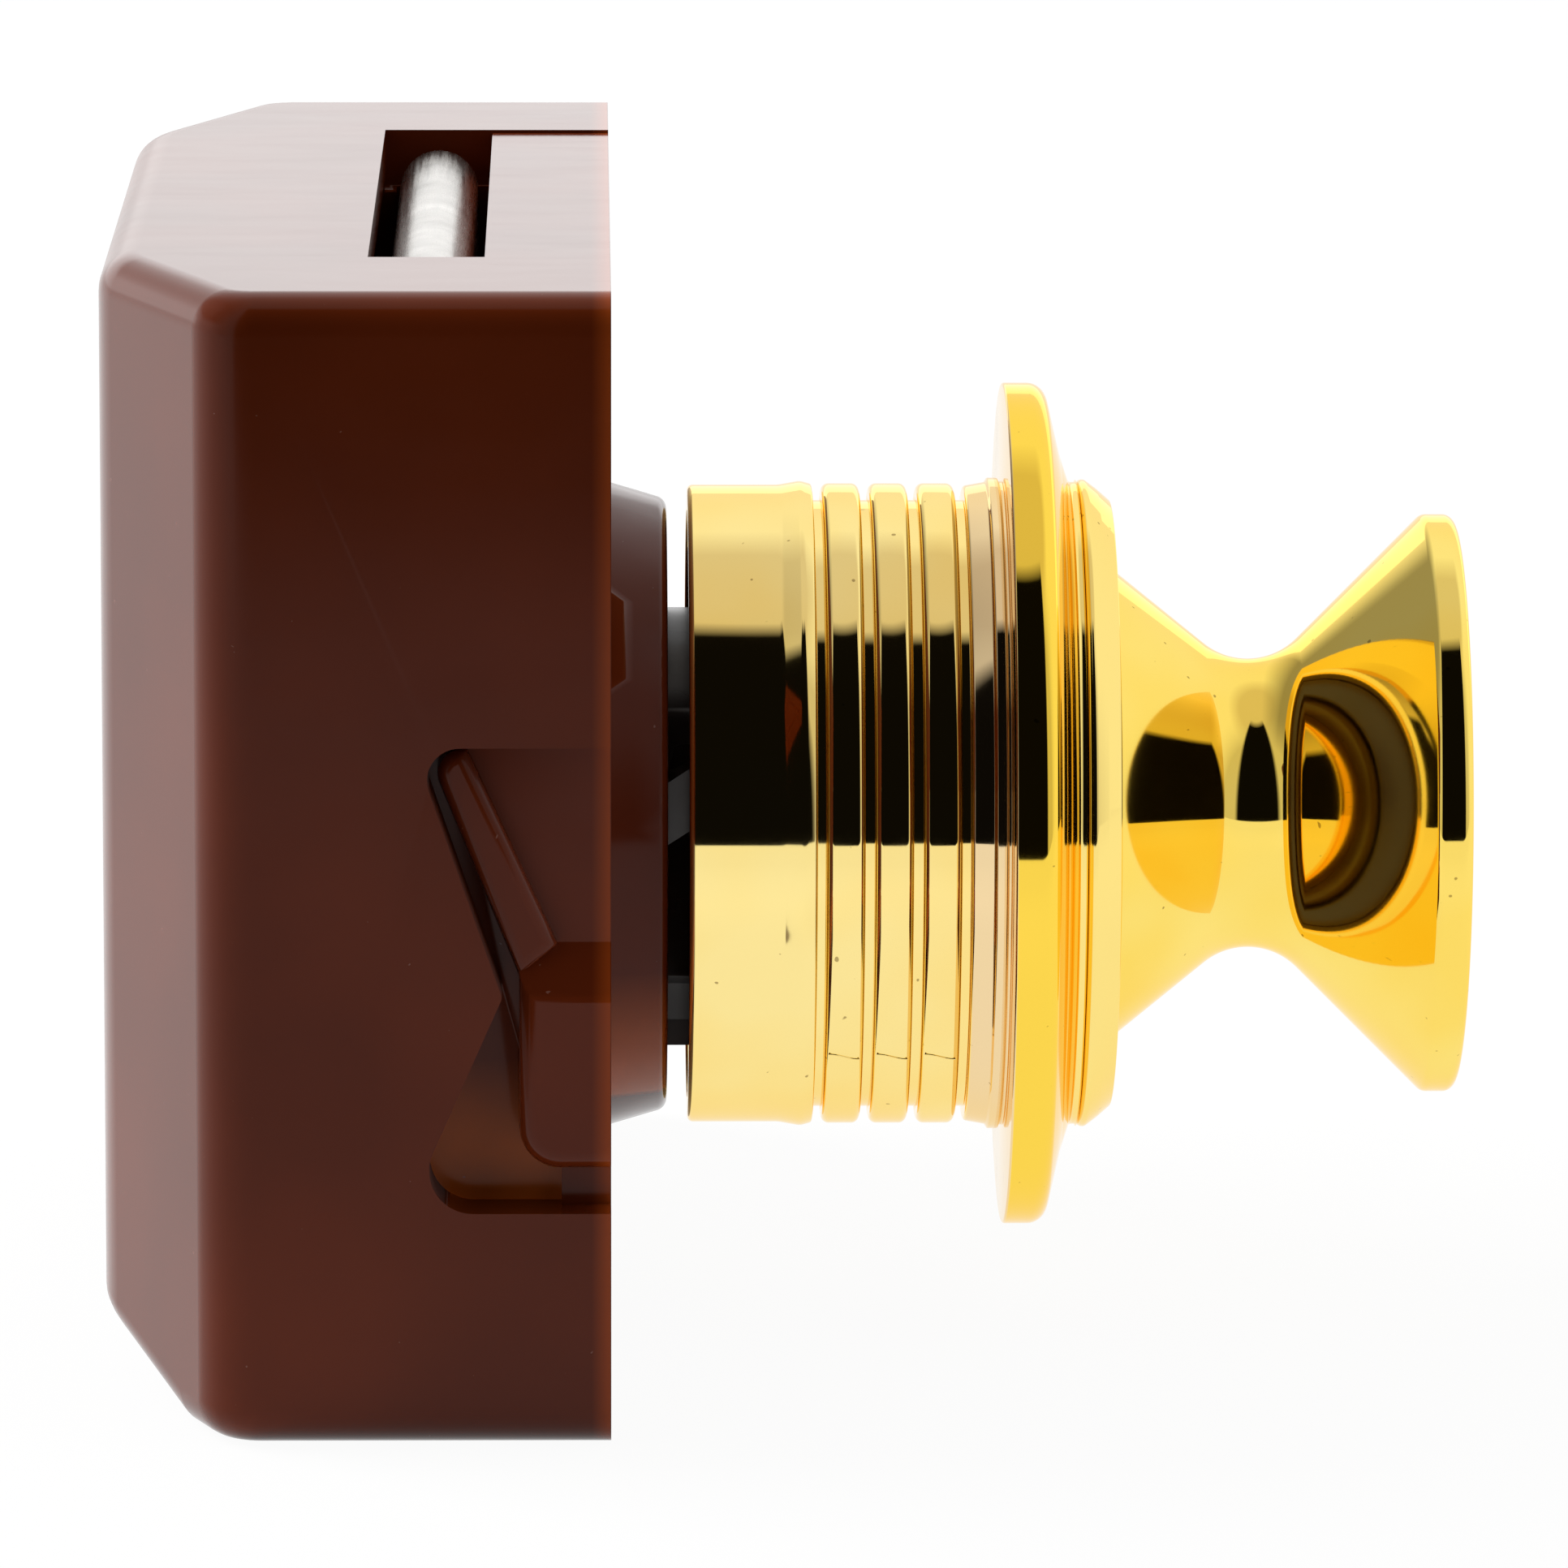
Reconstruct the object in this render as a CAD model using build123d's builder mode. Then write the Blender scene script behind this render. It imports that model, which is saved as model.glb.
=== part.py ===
"""Push button cabinet lock: a surface case behind the door, a spool knob in front of it.

+X runs along the knob axis, out of the door towards the user. +Z is the way the bolt
comes out. Y lies along the case. The origin is on the knob axis, in the plane where the
case meets the back of the door. Sizes are in millimetres, and the knob is modelled out,
with the bolt drawn back.
"""

import os
from math import atan2, cos, degrees, pi, radians, sin, sqrt, tan

from build123d import *

# Case: a boxy moulding, open towards the door
case_length = 60.0
case_depth = 18.9
case_top = 23.9
case_bottom = 18.5
case_wall = 1.7
case_corner_deep = 4.4
case_corner_long = 11.4
case_bevel_deep = 4.0
case_bevel_high = 2.7
case_end_radius = 2.5
case_shoulder_radius = 8.0
case_edge_fillet = 1.5

# Cover: the plate that closes the case on the door side, with its boss and its tab
cover_thickness = 1.8
cover_gap = 0.1
boss_reach = 2.2
boss_base_diameter = 24.9
boss_front_diameter = 23.6
boss_edge_fillet = 0.5
tab_depth = 4.63
tab_gap = 0.08
tab_low_edge = 15.5
tab_drop = 0.12

# Slot in the top wall that the bolt comes out of
slot_length = 38.6
slot_back = 8.92

# Two wood screws through the flat of the back, below the feet of the bolt
screw_hole_diameter = 3.6
screw_head_diameter = 5.8
screw_seat_depth = 15.0
screw_seat_wall = 1.0
screw_pillar_diameter = 6.2
screw_pillar_gap = 0.3

# Side pockets in the two short walls, where the cover's snap lugs sit
pocket_depth = 2.6
pocket_floor = 1.2
pocket_top = 7.44
pocket_bottom = 9.74
pocket_upper_reach = 7.13
pocket_lower_reach = 7.47
pocket_upper_radius = 1.18
pocket_lower_radius = 1.6
tongue_tip_reach = 3.95
tongue_tip_height = -1.74
tongue_tip_radius = 0.3
lug_gap = 0.2
lug_corner_radius = 0.9
lug_head_width = 1.5
pad_reach = 3.34
pad_top = 0.05
pad_slope_height = 1.86
pad_bottom = 8.2
pad_corner_radius = 1.5
pad_side_depth = 0.3
pad_edge_fillet = 0.7
web_side_depth = 1.5
arm_side_depth = 0.7
arm_foot_width = 1.4
arm_foot_height = 1.2
arm_edge_fillet = 0.5

# Bolt: a steel plate with a rounded nose, drawn back just below the case top
bolt_thickness = 3.1
bolt_centre_depth = 6.75
bolt_width = 37.2
bolt_crest_below_top = 0.74
bolt_opening_gap = 0.6
bolt_crown_height = 11.0
bolt_foot = 9.0
bolt_foot_chamfer = 2.0
bolt_travel = 6.5
guide_gap = 0.15
guide_wall = 1.3
guide_rib_width = 1.7
guide_foot = 12.0

# Push travel of the button, which raises the bolt by its travel
press_travel = 10.0

# Plunger: a black tube with two slanted drive rails and a keel
plunger_wall = 0.95
plunger_front = 13.0
plunger_web_back = 9.5
plunger_stop_gap = 0.1
plunger_edge = 0.5
plunger_running_gap = 0.06
rail_reach = 2.0
rail_height = 2.4
rail_start_height = -4.5
rail_end_margin = 0.5
rail_gap = 0.15
keel_half_width = 4.2
keel_thickness = 0.1

# Heart cam: the plate under the keel that holds the latching track
cam_half_width = 3.8
cam_thickness = 1.1
track_depth = 0.8
track_width = 1.5
track_return_offset = -2.2
track_notch_back = 1.2
track_lead = 2.5
cam_end_margin = 0.4

# Cam follower: a bent wire that stands in the case and runs in the track
follower_wire = 1.0
follower_pivot_depth = 15.3
follower_reach = 11.3
follower_tip_travel = 1.0
follower_cam_gap = 0.6
follower_bend_radius = 1.3
follower_tip_gap = 0.15
follower_pin_length = 3.4
follower_running_gap = 0.04
follower_post_radius = 1.8
follower_post_gap = 0.6

# Leaf spring that keeps the follower up in its track
leaf_thickness = 0.3
leaf_width = 3.0
leaf_foot_length = 8.0
leaf_rise_start = 12.0
leaf_lip_start = 8.6
leaf_lip_length = 2.2
leaf_bend_radius = 0.7
leaf_gap = 0.1

# Main spring behind the button
spring_wire = 1.0
spring_side_gap = 0.4
spring_active_turns = 7
spring_end_turns = 1
spring_end_pitch = 1.5
spring_washer_thickness = 0.5
spring_washer_gap = 0.25
spring_spigot_gap = 0.45
spring_spigot_height = 1.3
seat_gap = 0.02

# Spindle: a grooved rod that sets how far the knob stands off the case
spindle_spring_gap = 1.05
spindle_groove_depth = 0.7
spindle_groove_pitch = 2.0
spindle_groove_count = 7
spindle_groove_floor = 1.3
spindle_groove_mouth = 1.5
spindle_tail = -4.6
spindle_tail_chamfer = 0.7
spindle_running_gap = 0.05
tenon_wall = 1.05
tenon_length = 4.5
clip_wire = 1.2
clip_reach = 11.0
clip_bow_gap = 0.3
clip_head_gap = 0.96
clip_bow_radius = 1.5
clip_leg_foot = 6.6
clip_gap = 0.05

# Knob: a spool with a round base, a waist and a wide rim
knob_back = 14.6
knob_base_radius = 10.0
knob_base_edge = 0.4
knob_back_cone_angle = 38.9
knob_front_cone_angle = 45.0
knob_waist_drop = 4.4
knob_waist_reach = 24.75
knob_waist_fillet = 2.7
knob_rim_rise = 1.2
knob_rim_front = 32.73
knob_rim_fillet = 0.45
knob_crown = 33.15
cap_rim_width = 0.9
cap_thickness = 1.0
cap_edge = 32.65
cap_gap = 0.04
screw_shank_radius = 1.95
screw_clearance = 0.05
screw_head_radius = 3.9
screw_head_height = 2.2
screw_head_front = 31.0
screw_tip = 15.0
screw_head_fillet = 0.5
screw_slot_reach = 2.4
screw_slot_width = 1.0
screw_slot_depth = 1.0

# Escutcheon: the ribbed sleeve in the door with its flange and its collar
sleeve_back = 3.0
sleeve_wall = 0.95
sleeve_edge = 0.2
sleeve_swell = 0.15
sleeve_swell_length = 1.3
rib_rise = 0.05
groove_first_reach = 8.0
groove_pitch = 1.833
groove_count = 4
groove_width = 0.36
groove_depth = 0.5
rib_crown = 0.15
bead_back = 14.62
bead_rise = 0.27
flange_back = 15.19
flange_rim_width = 2.6
flange_rim_front = 16.75
flange_rim_fillet = 0.75
flange_face_width = 1.25
flange_face_front = 17.35
neck_rise = 0.1
neck_front = 17.75
collar_back = 18.05
collar_rise = 0.35
collar_shoulder_front = 18.85
collar_shoulder_drop = 0.6
collar_front = 19.37
collar_front_wall = 0.35

# Guide bush in the sleeve, which the knob's base slides in
liner_wall = 1.31
liner_thin_wall = 0.42
liner_gap = 0.03
liner_back_gap = 0.15
liner_front_recess = 0.7
liner_step = 7.0
liner_running_gap = 0.06

# Overrun of cuts past the faces they leave through
overrun = 1.0

half_length = case_length / 2
bolt_slope = bolt_travel / press_travel
bolt_back = -bolt_centre_depth - bolt_thickness / 2
bolt_front = -bolt_centre_depth + bolt_thickness / 2
cavity_back = -case_depth + case_wall
cavity_top = case_top - case_wall
cavity_bottom = -case_bottom + case_wall
cavity_half = half_length - case_wall
plunger_back = cavity_back + press_travel + plunger_stop_gap
liner_bore = knob_base_radius + liner_running_gap
liner_radius = liner_bore + liner_wall
liner_wide_bore = liner_radius - liner_thin_wall
sleeve_bore_radius = liner_radius + liner_gap
sleeve_radius = sleeve_bore_radius + sleeve_wall
rib_radius = sleeve_radius + rib_rise
bead_radius = sleeve_radius + bead_rise
neck_radius = sleeve_radius + neck_rise
flange_face_radius = neck_radius + flange_face_width
flange_radius = flange_face_radius + flange_rim_width
collar_radius = neck_radius + collar_rise
collar_shoulder_radius = collar_radius - collar_shoulder_drop
collar_front_radius = sleeve_bore_radius + collar_front_wall
plunger_radius = liner_bore - clip_head_gap - clip_wire - clip_bow_gap
plunger_bore_radius = plunger_radius - plunger_wall
clip_bow_height = plunger_radius + clip_bow_gap + clip_wire / 2
rail_outer = plunger_radius + rail_reach
bolt_opening_width = 2 * (plunger_radius + bolt_opening_gap)
spring_mean_radius = plunger_bore_radius - spring_side_gap - spring_wire / 2
spring_washer_radius = plunger_bore_radius - spring_washer_gap
spring_spigot_radius = spring_mean_radius - spring_wire / 2 - spring_spigot_gap
spindle_radius = spring_mean_radius - spring_wire / 2 - spindle_spring_gap
spindle_groove_radius = spindle_radius - spindle_groove_depth
clip_leg = spindle_groove_radius + clip_wire / 2 + clip_gap
tenon_radius = screw_shank_radius + tenon_wall
knob_waist_radius = knob_base_radius - knob_waist_drop
knob_rim_radius = knob_base_radius + knob_rim_rise
cap_radius = knob_rim_radius - cap_rim_width
keel_underside = plunger_radius + keel_thickness
cam_underside = -keel_underside - cam_thickness
follower_height = cam_underside - follower_cam_gap - follower_wire / 2
follower_tip = -follower_pivot_depth + follower_reach
rail_front = bolt_front + press_travel + rail_end_margin
screw_drop = bolt_foot + screw_pillar_gap + screw_pillar_diameter / 2
screw_reach = bolt_width / 2 - guide_rib_width - screw_pillar_gap - screw_pillar_diameter / 2
lug_floor = half_length - pocket_depth + lug_gap
lug_top = pocket_top - lug_gap
lug_corner_reach = pocket_upper_reach - 2 * lug_gap

# How far the knob can be set out for a thicker door
depth_travel = (spindle_groove_count - 1) * spindle_groove_pitch

os.makedirs("parts", exist_ok=True)


def slant_share(first, second, inset):
    """What is left of a slant when it and the two faces beside it move in by an inset."""
    across = sqrt(1 / first**2 + 1 / second**2)
    return 1 + inset * (across - 1 / first - 1 / second)


def case_form(inset):
    """The boxy form of the case, or of its hollow when it is inset by the wall."""
    half = half_length - inset
    back = -case_depth + inset
    corner_share = slant_share(case_corner_deep, case_corner_long, inset)
    corner_deep = case_corner_deep * corner_share
    corner_long = case_corner_long * corner_share
    bevel_share = slant_share(case_bevel_deep, case_bevel_high, inset)
    deep = case_bevel_deep * bevel_share
    high = case_bevel_high * bevel_share
    low = -case_bottom + inset
    top = case_top - inset
    with BuildPart() as form:
        with BuildSketch(Plane.XY.offset(low)):
            with BuildLine():
                Polyline(
                    (0, -half),
                    (back + corner_deep, -half),
                    (back, -half + corner_long),
                    (back, half - corner_long),
                    (back + corner_deep, half),
                    (0, half),
                    close=True,
                )
            make_face()
        extrude(amount=top - low)
        with BuildSketch(Plane.XZ):
            with BuildLine():
                Polyline(
                    (0, low),
                    (back + deep, low),
                    (back, low + high),
                    (back, top),
                    (0, top),
                    close=True,
                )
            make_face()
        extrude(amount=half, both=True, mode=Mode.INTERSECT)
    return form.part


def block(low, high, mode=Mode.ADD):
    """A plain box between two corners."""
    middle = [(a + b) / 2 for a, b in zip(low, high)]
    size = [b - a for a, b in zip(low, high)]
    with Locations(tuple(middle)):
        Box(*size, mode=mode)


def rail_centre(x):
    """Height of the drive rail's middle at a place along the knob axis, at rest."""
    return rail_start_height + (x + bolt_centre_depth) * bolt_slope


def rail_profile(low_x, high_x, gap):
    """The slanted outline of a drive rail, or of its notch when it has a gap."""
    half = rail_height / 2 + gap
    with BuildSketch() as profile:
        with BuildLine():
            Polyline(
                (low_x, rail_centre(low_x) - half),
                (high_x, rail_centre(high_x) - half),
                (high_x, rail_centre(high_x) + half),
                (low_x, rail_centre(low_x) + half),
                close=True,
            )
        make_face()
    return profile.sketch


def side_outline(corners):
    """A closed outline in the side view, from corners with their place and radius."""
    with BuildSketch() as outline:
        with BuildLine():
            Polyline(*[(x, z) for x, z, radius in corners], close=True)
        make_face()
        for x, z, radius in corners:
            if radius:
                near = outline.vertices().sort_by_distance(Vector(x, z, 0))[0]
                fillet(near, radius)
    return outline.sketch


def raised_form(corners, level):
    """A flat form on a lug, from the lug's floor out to a level off the case's middle."""
    with BuildPart() as form:
        with BuildSketch(Plane.XZ.offset(-lug_floor)):
            add(side_outline(corners))
        extrude(amount=lug_floor - level)
    return form.part


screw_places = [(side * screw_reach, -screw_drop) for side in (-1, 1)]

pocket_corners = [
    (overrun, pocket_top, 0),
    (-pocket_upper_reach, pocket_top, pocket_upper_radius),
    (-tongue_tip_reach, tongue_tip_height, tongue_tip_radius),
    (-pocket_lower_reach, -pocket_bottom, pocket_lower_radius),
    (overrun, -pocket_bottom, 0),
]

# The hollow of the case, less the walls, pillars, guides and posts that stand in it
with BuildPart() as hollow:
    add(case_form(case_wall))
    # Walls behind the side pockets
    for side in (-1, 1):
        inner = side * (half_length - pocket_depth - pocket_floor)
        outer = side * half_length
        block(
            (-pocket_lower_reach - case_wall, min(inner, outer), -pocket_bottom - case_wall),
            (-cover_thickness, max(inner, outer), pocket_top + case_wall),
            Mode.SUBTRACT,
        )
    # Screw pillars, wider round the sunk seats of the heads
    with BuildSketch(Plane.YZ.offset(-case_depth)):
        with Locations(*screw_places):
            Circle(screw_pillar_diameter / 2)
    extrude(amount=case_depth - cover_thickness, mode=Mode.SUBTRACT)
    with BuildSketch(Plane.YZ.offset(-case_depth)):
        with Locations(*screw_places):
            Circle(screw_head_diameter / 2 + screw_seat_wall)
    extrude(amount=case_depth - screw_seat_depth + case_wall, mode=Mode.SUBTRACT)
    # Guides behind and beside the bolt
    for side in (-1, 1):
        edge = side * (bolt_width / 2 + guide_gap)
        outside = edge + side * guide_wall
        inside = edge - side * (guide_rib_width + guide_gap)
        block(
            (-case_depth, min(edge, outside), -guide_foot),
            (-tab_depth - guide_gap, max(edge, outside), case_top),
            Mode.SUBTRACT,
        )
        block(
            (-case_depth, min(inside, outside), -guide_foot),
            (bolt_back - guide_gap, max(inside, outside), case_top),
            Mode.SUBTRACT,
        )
    # Spring spigot on the back wall
    with BuildSketch(Plane.YZ.offset(cavity_back)):
        Circle(spring_spigot_radius)
    extrude(amount=spring_spigot_height, mode=Mode.SUBTRACT)
    # Post that the follower stands in
    post_top = follower_height - follower_wire / 2 - follower_post_gap
    with BuildSketch(Plane.XY.offset(-case_bottom)):
        with Locations((-follower_pivot_depth, 0)):
            Circle(follower_post_radius)
    extrude(amount=post_top + case_bottom, mode=Mode.SUBTRACT)

# The case moulding, rounded outside
with BuildPart() as lock_case:
    add(case_form(0))
    upright = lock_case.edges().filter_by(Axis.Z)
    fillet(upright.filter_by(lambda e: -case_depth < e.center().X < -case_wall), case_end_radius)
    shoulders = lock_case.edges().filter_by(Axis.Z).group_by(Axis.X)[0]
    fillet(shoulders, case_shoulder_radius)
    upright = lock_case.edges().filter_by(Axis.Z)
    round_edges = lock_case.edges().filter_by(lambda e: e.center().X < -case_wall and e not in upright)
    fillet(round_edges, case_edge_fillet)
    add(hollow.part, mode=Mode.SUBTRACT)
    with BuildSketch(Plane.XY.offset(follower_height)):
        with Locations((-follower_pivot_depth, 0)):
            Circle(follower_wire / 2 + follower_running_gap)
    extrude(amount=-follower_bend_radius - follower_pin_length - follower_running_gap, mode=Mode.SUBTRACT)
    # Bolt slot and the notch for the cover's tab
    block(
        (-slot_back, -slot_length / 2, cavity_top - overrun / 2),
        (overrun, slot_length / 2, case_top + overrun),
        Mode.SUBTRACT,
    )
    # Side pockets
    for side in (-1, 1):
        with BuildSketch(Plane.XZ.offset(-side * (half_length - pocket_depth))):
            add(side_outline(pocket_corners))
        extrude(amount=-side * (pocket_depth + overrun), mode=Mode.SUBTRACT)
    # Screw holes with sunk seats for the heads
    with Locations(*[Location((-case_depth, y, z), (0, -90, 0)) for y, z in screw_places]):
        CounterBoreHole(
            screw_hole_diameter / 2,
            screw_head_diameter / 2,
            case_depth - screw_seat_depth,
            depth=case_depth,
        )
lock_case.part.label = "lock_case"
export_step(lock_case.part, "parts/lock_case.step")

# Snap lug at one end of the cover: a low web, a slanted arm and a raised pad
lug_web = raised_form(
    [
        (0, lug_top, 0),
        (-lug_corner_reach, lug_top, lug_corner_radius),
        (-pad_reach, pad_top - arm_foot_height, 0),
        (-pad_reach, -pad_bottom, pad_corner_radius),
        (0, -pad_bottom, 0),
    ],
    half_length - web_side_depth,
)
lug_arm = raised_form(
    [
        (-lug_corner_reach + lug_head_width, lug_top, 0),
        (-lug_corner_reach, lug_top, lug_corner_radius),
        (-pad_reach, pad_top - arm_foot_height, 0),
        (-pad_reach + arm_foot_width, pad_top, 0),
    ],
    half_length - arm_side_depth,
)
lug_arm = fillet(lug_arm.faces().sort_by(Axis.Y)[-1].edges(), arm_edge_fillet)
lug_pad = raised_form(
    [
        (-pad_reach, pad_top, 0),
        (-pad_reach, -pad_bottom, pad_corner_radius),
        (0, -pad_bottom, 0),
        (0, pad_top, 0),
    ],
    half_length - pad_side_depth,
)
pad_crest = lug_pad.faces().sort_by(Axis.Y)[-1].edges().sort_by(Axis.Z)[-1]
pad_rise = web_side_depth - pad_side_depth
lug_pad = chamfer(pad_crest, pad_slope_height, pad_rise, reference=lug_pad.faces().sort_by(Axis.Y)[-1])
pad_rim = lug_pad.faces().sort_by(Axis.Y)[-1].edges().filter_by(lambda e: e.center().X < -pad_edge_fillet)
lug_pad = fillet(pad_rim, pad_edge_fillet)

# The cover, with the boss that reaches into the door hole, the tab and the snap lugs
cover_half = cavity_half - cover_gap
cover_top = cavity_top - cover_gap
cover_low = cavity_bottom + cover_gap
with BuildPart() as case_cover:
    block((-cover_thickness, -cover_half, cover_low), (0, cover_half, cover_top))
    # Boss
    with BuildSketch(Plane.XY):
        with BuildLine():
            Polyline(
                (0, 0),
                (0, boss_base_diameter / 2),
                (boss_reach, boss_front_diameter / 2),
                (boss_reach, 0),
                close=True,
            )
        make_face()
    revolve(axis=Axis.X)
    front_rim = case_cover.edges().filter_by(GeomType.CIRCLE).sort_by(Axis.X)[-1]
    fillet(front_rim, boss_edge_fillet)
    # Tab beside the bolt slot
    tab_half = slot_length / 2 - tab_gap
    block((-tab_depth, -tab_half, tab_low_edge), (0, tab_half, case_top - tab_drop))
    # Ribs in front of the bolt
    for side in (-1, 1):
        rib_outer = side * bolt_width / 2
        rib_inner = side * (bolt_width / 2 - guide_rib_width)
        block(
            (bolt_front + guide_gap, min(rib_inner, rib_outer), -guide_foot),
            (-cover_thickness / 2, max(rib_inner, rib_outer), tab_low_edge + overrun),
        )
    # Snap lugs in the side pockets
    for form in (lug_web, lug_arm, lug_pad):
        add(form)
        mirror(form, about=Plane.XZ)
    # Way through for the plunger, with keyways for its rails, its keel and its clip
    with BuildSketch(Plane.YZ.offset(-cover_thickness - overrun)):
        Circle(plunger_radius + plunger_running_gap)
        key_low = rail_centre(-cover_thickness) - rail_height / 2 - 2 * rail_gap
        key_high = rail_centre(rail_front) + rail_height / 2 + 2 * rail_gap
        with Locations((0, (key_low + key_high) / 2)):
            Rectangle(2 * (rail_outer + rail_gap), key_high - key_low)
        with Locations((0, cam_underside / 2 - rail_gap)):
            Rectangle(2 * (keel_half_width + rail_gap), -cam_underside)
        clip_top = clip_bow_height + clip_wire / 2 + rail_gap
        clip_low = -clip_leg_foot - rail_gap
        with Locations((0, (clip_top + clip_low) / 2)):
            Rectangle(2 * (clip_leg + clip_wire / 2 + rail_gap), clip_top - clip_low)
    extrude(amount=cover_thickness + boss_reach + 2 * overrun, mode=Mode.SUBTRACT)
    # Screw holes
    with BuildSketch(Plane.YZ.offset(overrun)):
        with Locations(*screw_places):
            Circle(screw_hole_diameter / 2)
    extrude(amount=-cover_thickness - 2 * overrun, mode=Mode.SUBTRACT)
case_cover.part.label = "case_cover"
export_step(case_cover.part, "parts/case_cover.step")

# The bolt: a steel plate that straddles the plunger, with slanted notches for the rails
bolt_crest = case_top - bolt_crest_below_top
nose_radius = bolt_thickness / 2
with BuildPart() as latch_bolt:
    with BuildSketch(Plane.XZ):
        with Locations((-bolt_centre_depth, bolt_crest - nose_radius)):
            Circle(nose_radius)
        with Locations((-bolt_centre_depth, (bolt_crest - nose_radius - bolt_foot) / 2)):
            Rectangle(bolt_thickness, bolt_crest - nose_radius + bolt_foot)
    extrude(amount=bolt_width / 2, both=True)
    foot_corners = latch_bolt.edges().filter_by(Axis.X).group_by(Axis.Z)[0]
    chamfer(foot_corners, bolt_foot_chamfer)
    with BuildSketch(Plane.YZ.offset(bolt_back - overrun)):
        with Locations((0, (bolt_crown_height - bolt_foot) / 2 - overrun)):
            opening = Rectangle(bolt_opening_width, bolt_crown_height + bolt_foot + 2 * overrun)
        fillet(opening.vertices().group_by(Axis.Y)[-1], bolt_foot_chamfer)
    extrude(amount=bolt_thickness + 2 * overrun, mode=Mode.SUBTRACT)
    with BuildSketch(Plane.XZ):
        add(rail_profile(bolt_back - overrun, bolt_front + overrun, rail_gap))
    extrude(amount=rail_outer + rail_gap, both=True, mode=Mode.SUBTRACT)
latch_bolt.part.label = "latch_bolt"
export_step(latch_bolt.part, "parts/latch_bolt.step")

# The plunger: a tube with a front web, two drive rails and a keel
with BuildPart() as plunger:
    with BuildSketch(Plane.YZ.offset(plunger_back)):
        Circle(plunger_radius)
    extrude(amount=plunger_front - plunger_back)
    front_rim = plunger.edges().filter_by(GeomType.CIRCLE).sort_by(Axis.X)[-1]
    chamfer(front_rim, plunger_edge)
    with BuildSketch(Plane.XZ):
        add(rail_profile(plunger_back, rail_front, 0))
    extrude(amount=rail_outer, both=True)
    block(
        (plunger_back, -keel_half_width, -keel_underside),
        (plunger_web_back, keel_half_width, -keel_underside / 2),
    )
    with BuildSketch(Plane.YZ.offset(plunger_back)):
        Circle(plunger_bore_radius)
    extrude(amount=plunger_web_back - plunger_back, mode=Mode.SUBTRACT)
    with BuildSketch(Plane.YZ.offset(plunger_back)):
        Circle(spindle_radius + spindle_running_gap)
    extrude(amount=plunger_front - plunger_back + overrun, mode=Mode.SUBTRACT)
    with BuildSketch(Plane.XY.offset(-plunger_radius)):
        with Locations((clip_reach, -clip_leg), (clip_reach, clip_leg)):
            Circle(clip_wire / 2 + clip_gap)
    extrude(amount=2 * plunger_radius, mode=Mode.SUBTRACT)
plunger.part.label = "plunger"
export_step(plunger.part, "parts/plunger.step")

# The heart cam: a plate under the keel, with the latching track on its underside
with BuildPart() as heart_cam:
    block(
        (plunger_back + cam_end_margin, -cam_half_width, cam_underside),
        (plunger_web_back - cam_end_margin, cam_half_width, -keel_underside),
    )
    track_end = follower_tip + press_travel
    track_points = [
        Vector(follower_tip, 0),
        Vector(track_end, follower_tip_travel),
        Vector(track_end - track_notch_back, follower_tip_travel + track_return_offset / 2),
        Vector(track_end, track_return_offset),
        Vector(follower_tip + track_lead, track_return_offset),
    ]
    with BuildSketch(Plane.XY.offset(cam_underside)):
        for here, there in zip(track_points, track_points[1:] + track_points[:1]):
            with Locations((here + there) / 2):
                lane = there - here
                heading = degrees(atan2(lane.Y, lane.X))
                SlotCenterToCenter(lane.length, track_width, rotation=heading)
    extrude(amount=track_depth, mode=Mode.SUBTRACT)
heart_cam.part.label = "heart_cam"
export_step(heart_cam.part, "parts/heart_cam.step")

# The cam follower: a wire that swings on its pin and reaches up into the track
pin_foot = follower_height - follower_bend_radius - follower_pin_length
track_floor = cam_underside + track_depth
with BuildPart() as cam_follower:
    with BuildLine():
        FilletPolyline(
            (-follower_pivot_depth, 0, pin_foot),
            (-follower_pivot_depth, 0, follower_height),
            (follower_tip, 0, follower_height),
            (follower_tip, 0, track_floor - follower_tip_gap),
            radius=follower_bend_radius,
        )
    with BuildSketch(Plane((-follower_pivot_depth, 0, pin_foot))):
        Circle(follower_wire / 2)
    sweep()
cam_follower.part.label = "cam_follower"
export_step(cam_follower.part, "parts/cam_follower.step")

# The leaf spring on the case floor that bears up on the follower
leaf_low = cavity_bottom + leaf_thickness / 2
leaf_high = follower_height - follower_wire / 2 - leaf_gap - leaf_thickness / 2
with BuildPart() as follower_spring:
    with BuildSketch(Plane.XZ):
        with BuildLine():
            FilletPolyline(
                (-leaf_rise_start + leaf_foot_length, leaf_low),
                (-leaf_rise_start, leaf_low),
                (-leaf_lip_start, leaf_high),
                (-leaf_lip_start + leaf_lip_length, leaf_high),
                radius=leaf_bend_radius,
            )
        trace(line_width=leaf_thickness)
    extrude(amount=leaf_width / 2, both=True)
follower_spring.part.label = "follower_spring"
export_step(follower_spring.part, "parts/follower_spring.step")

# The steel washer that the main spring stands on
with BuildPart() as spring_washer:
    with BuildSketch(Plane.YZ.offset(cavity_back)):
        Circle(spring_washer_radius)
        Circle(spring_spigot_radius + guide_gap, mode=Mode.SUBTRACT)
    extrude(amount=spring_washer_thickness)
spring_washer.part.label = "spring_washer"
export_step(spring_washer.part, "parts/spring_washer.step")


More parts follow.
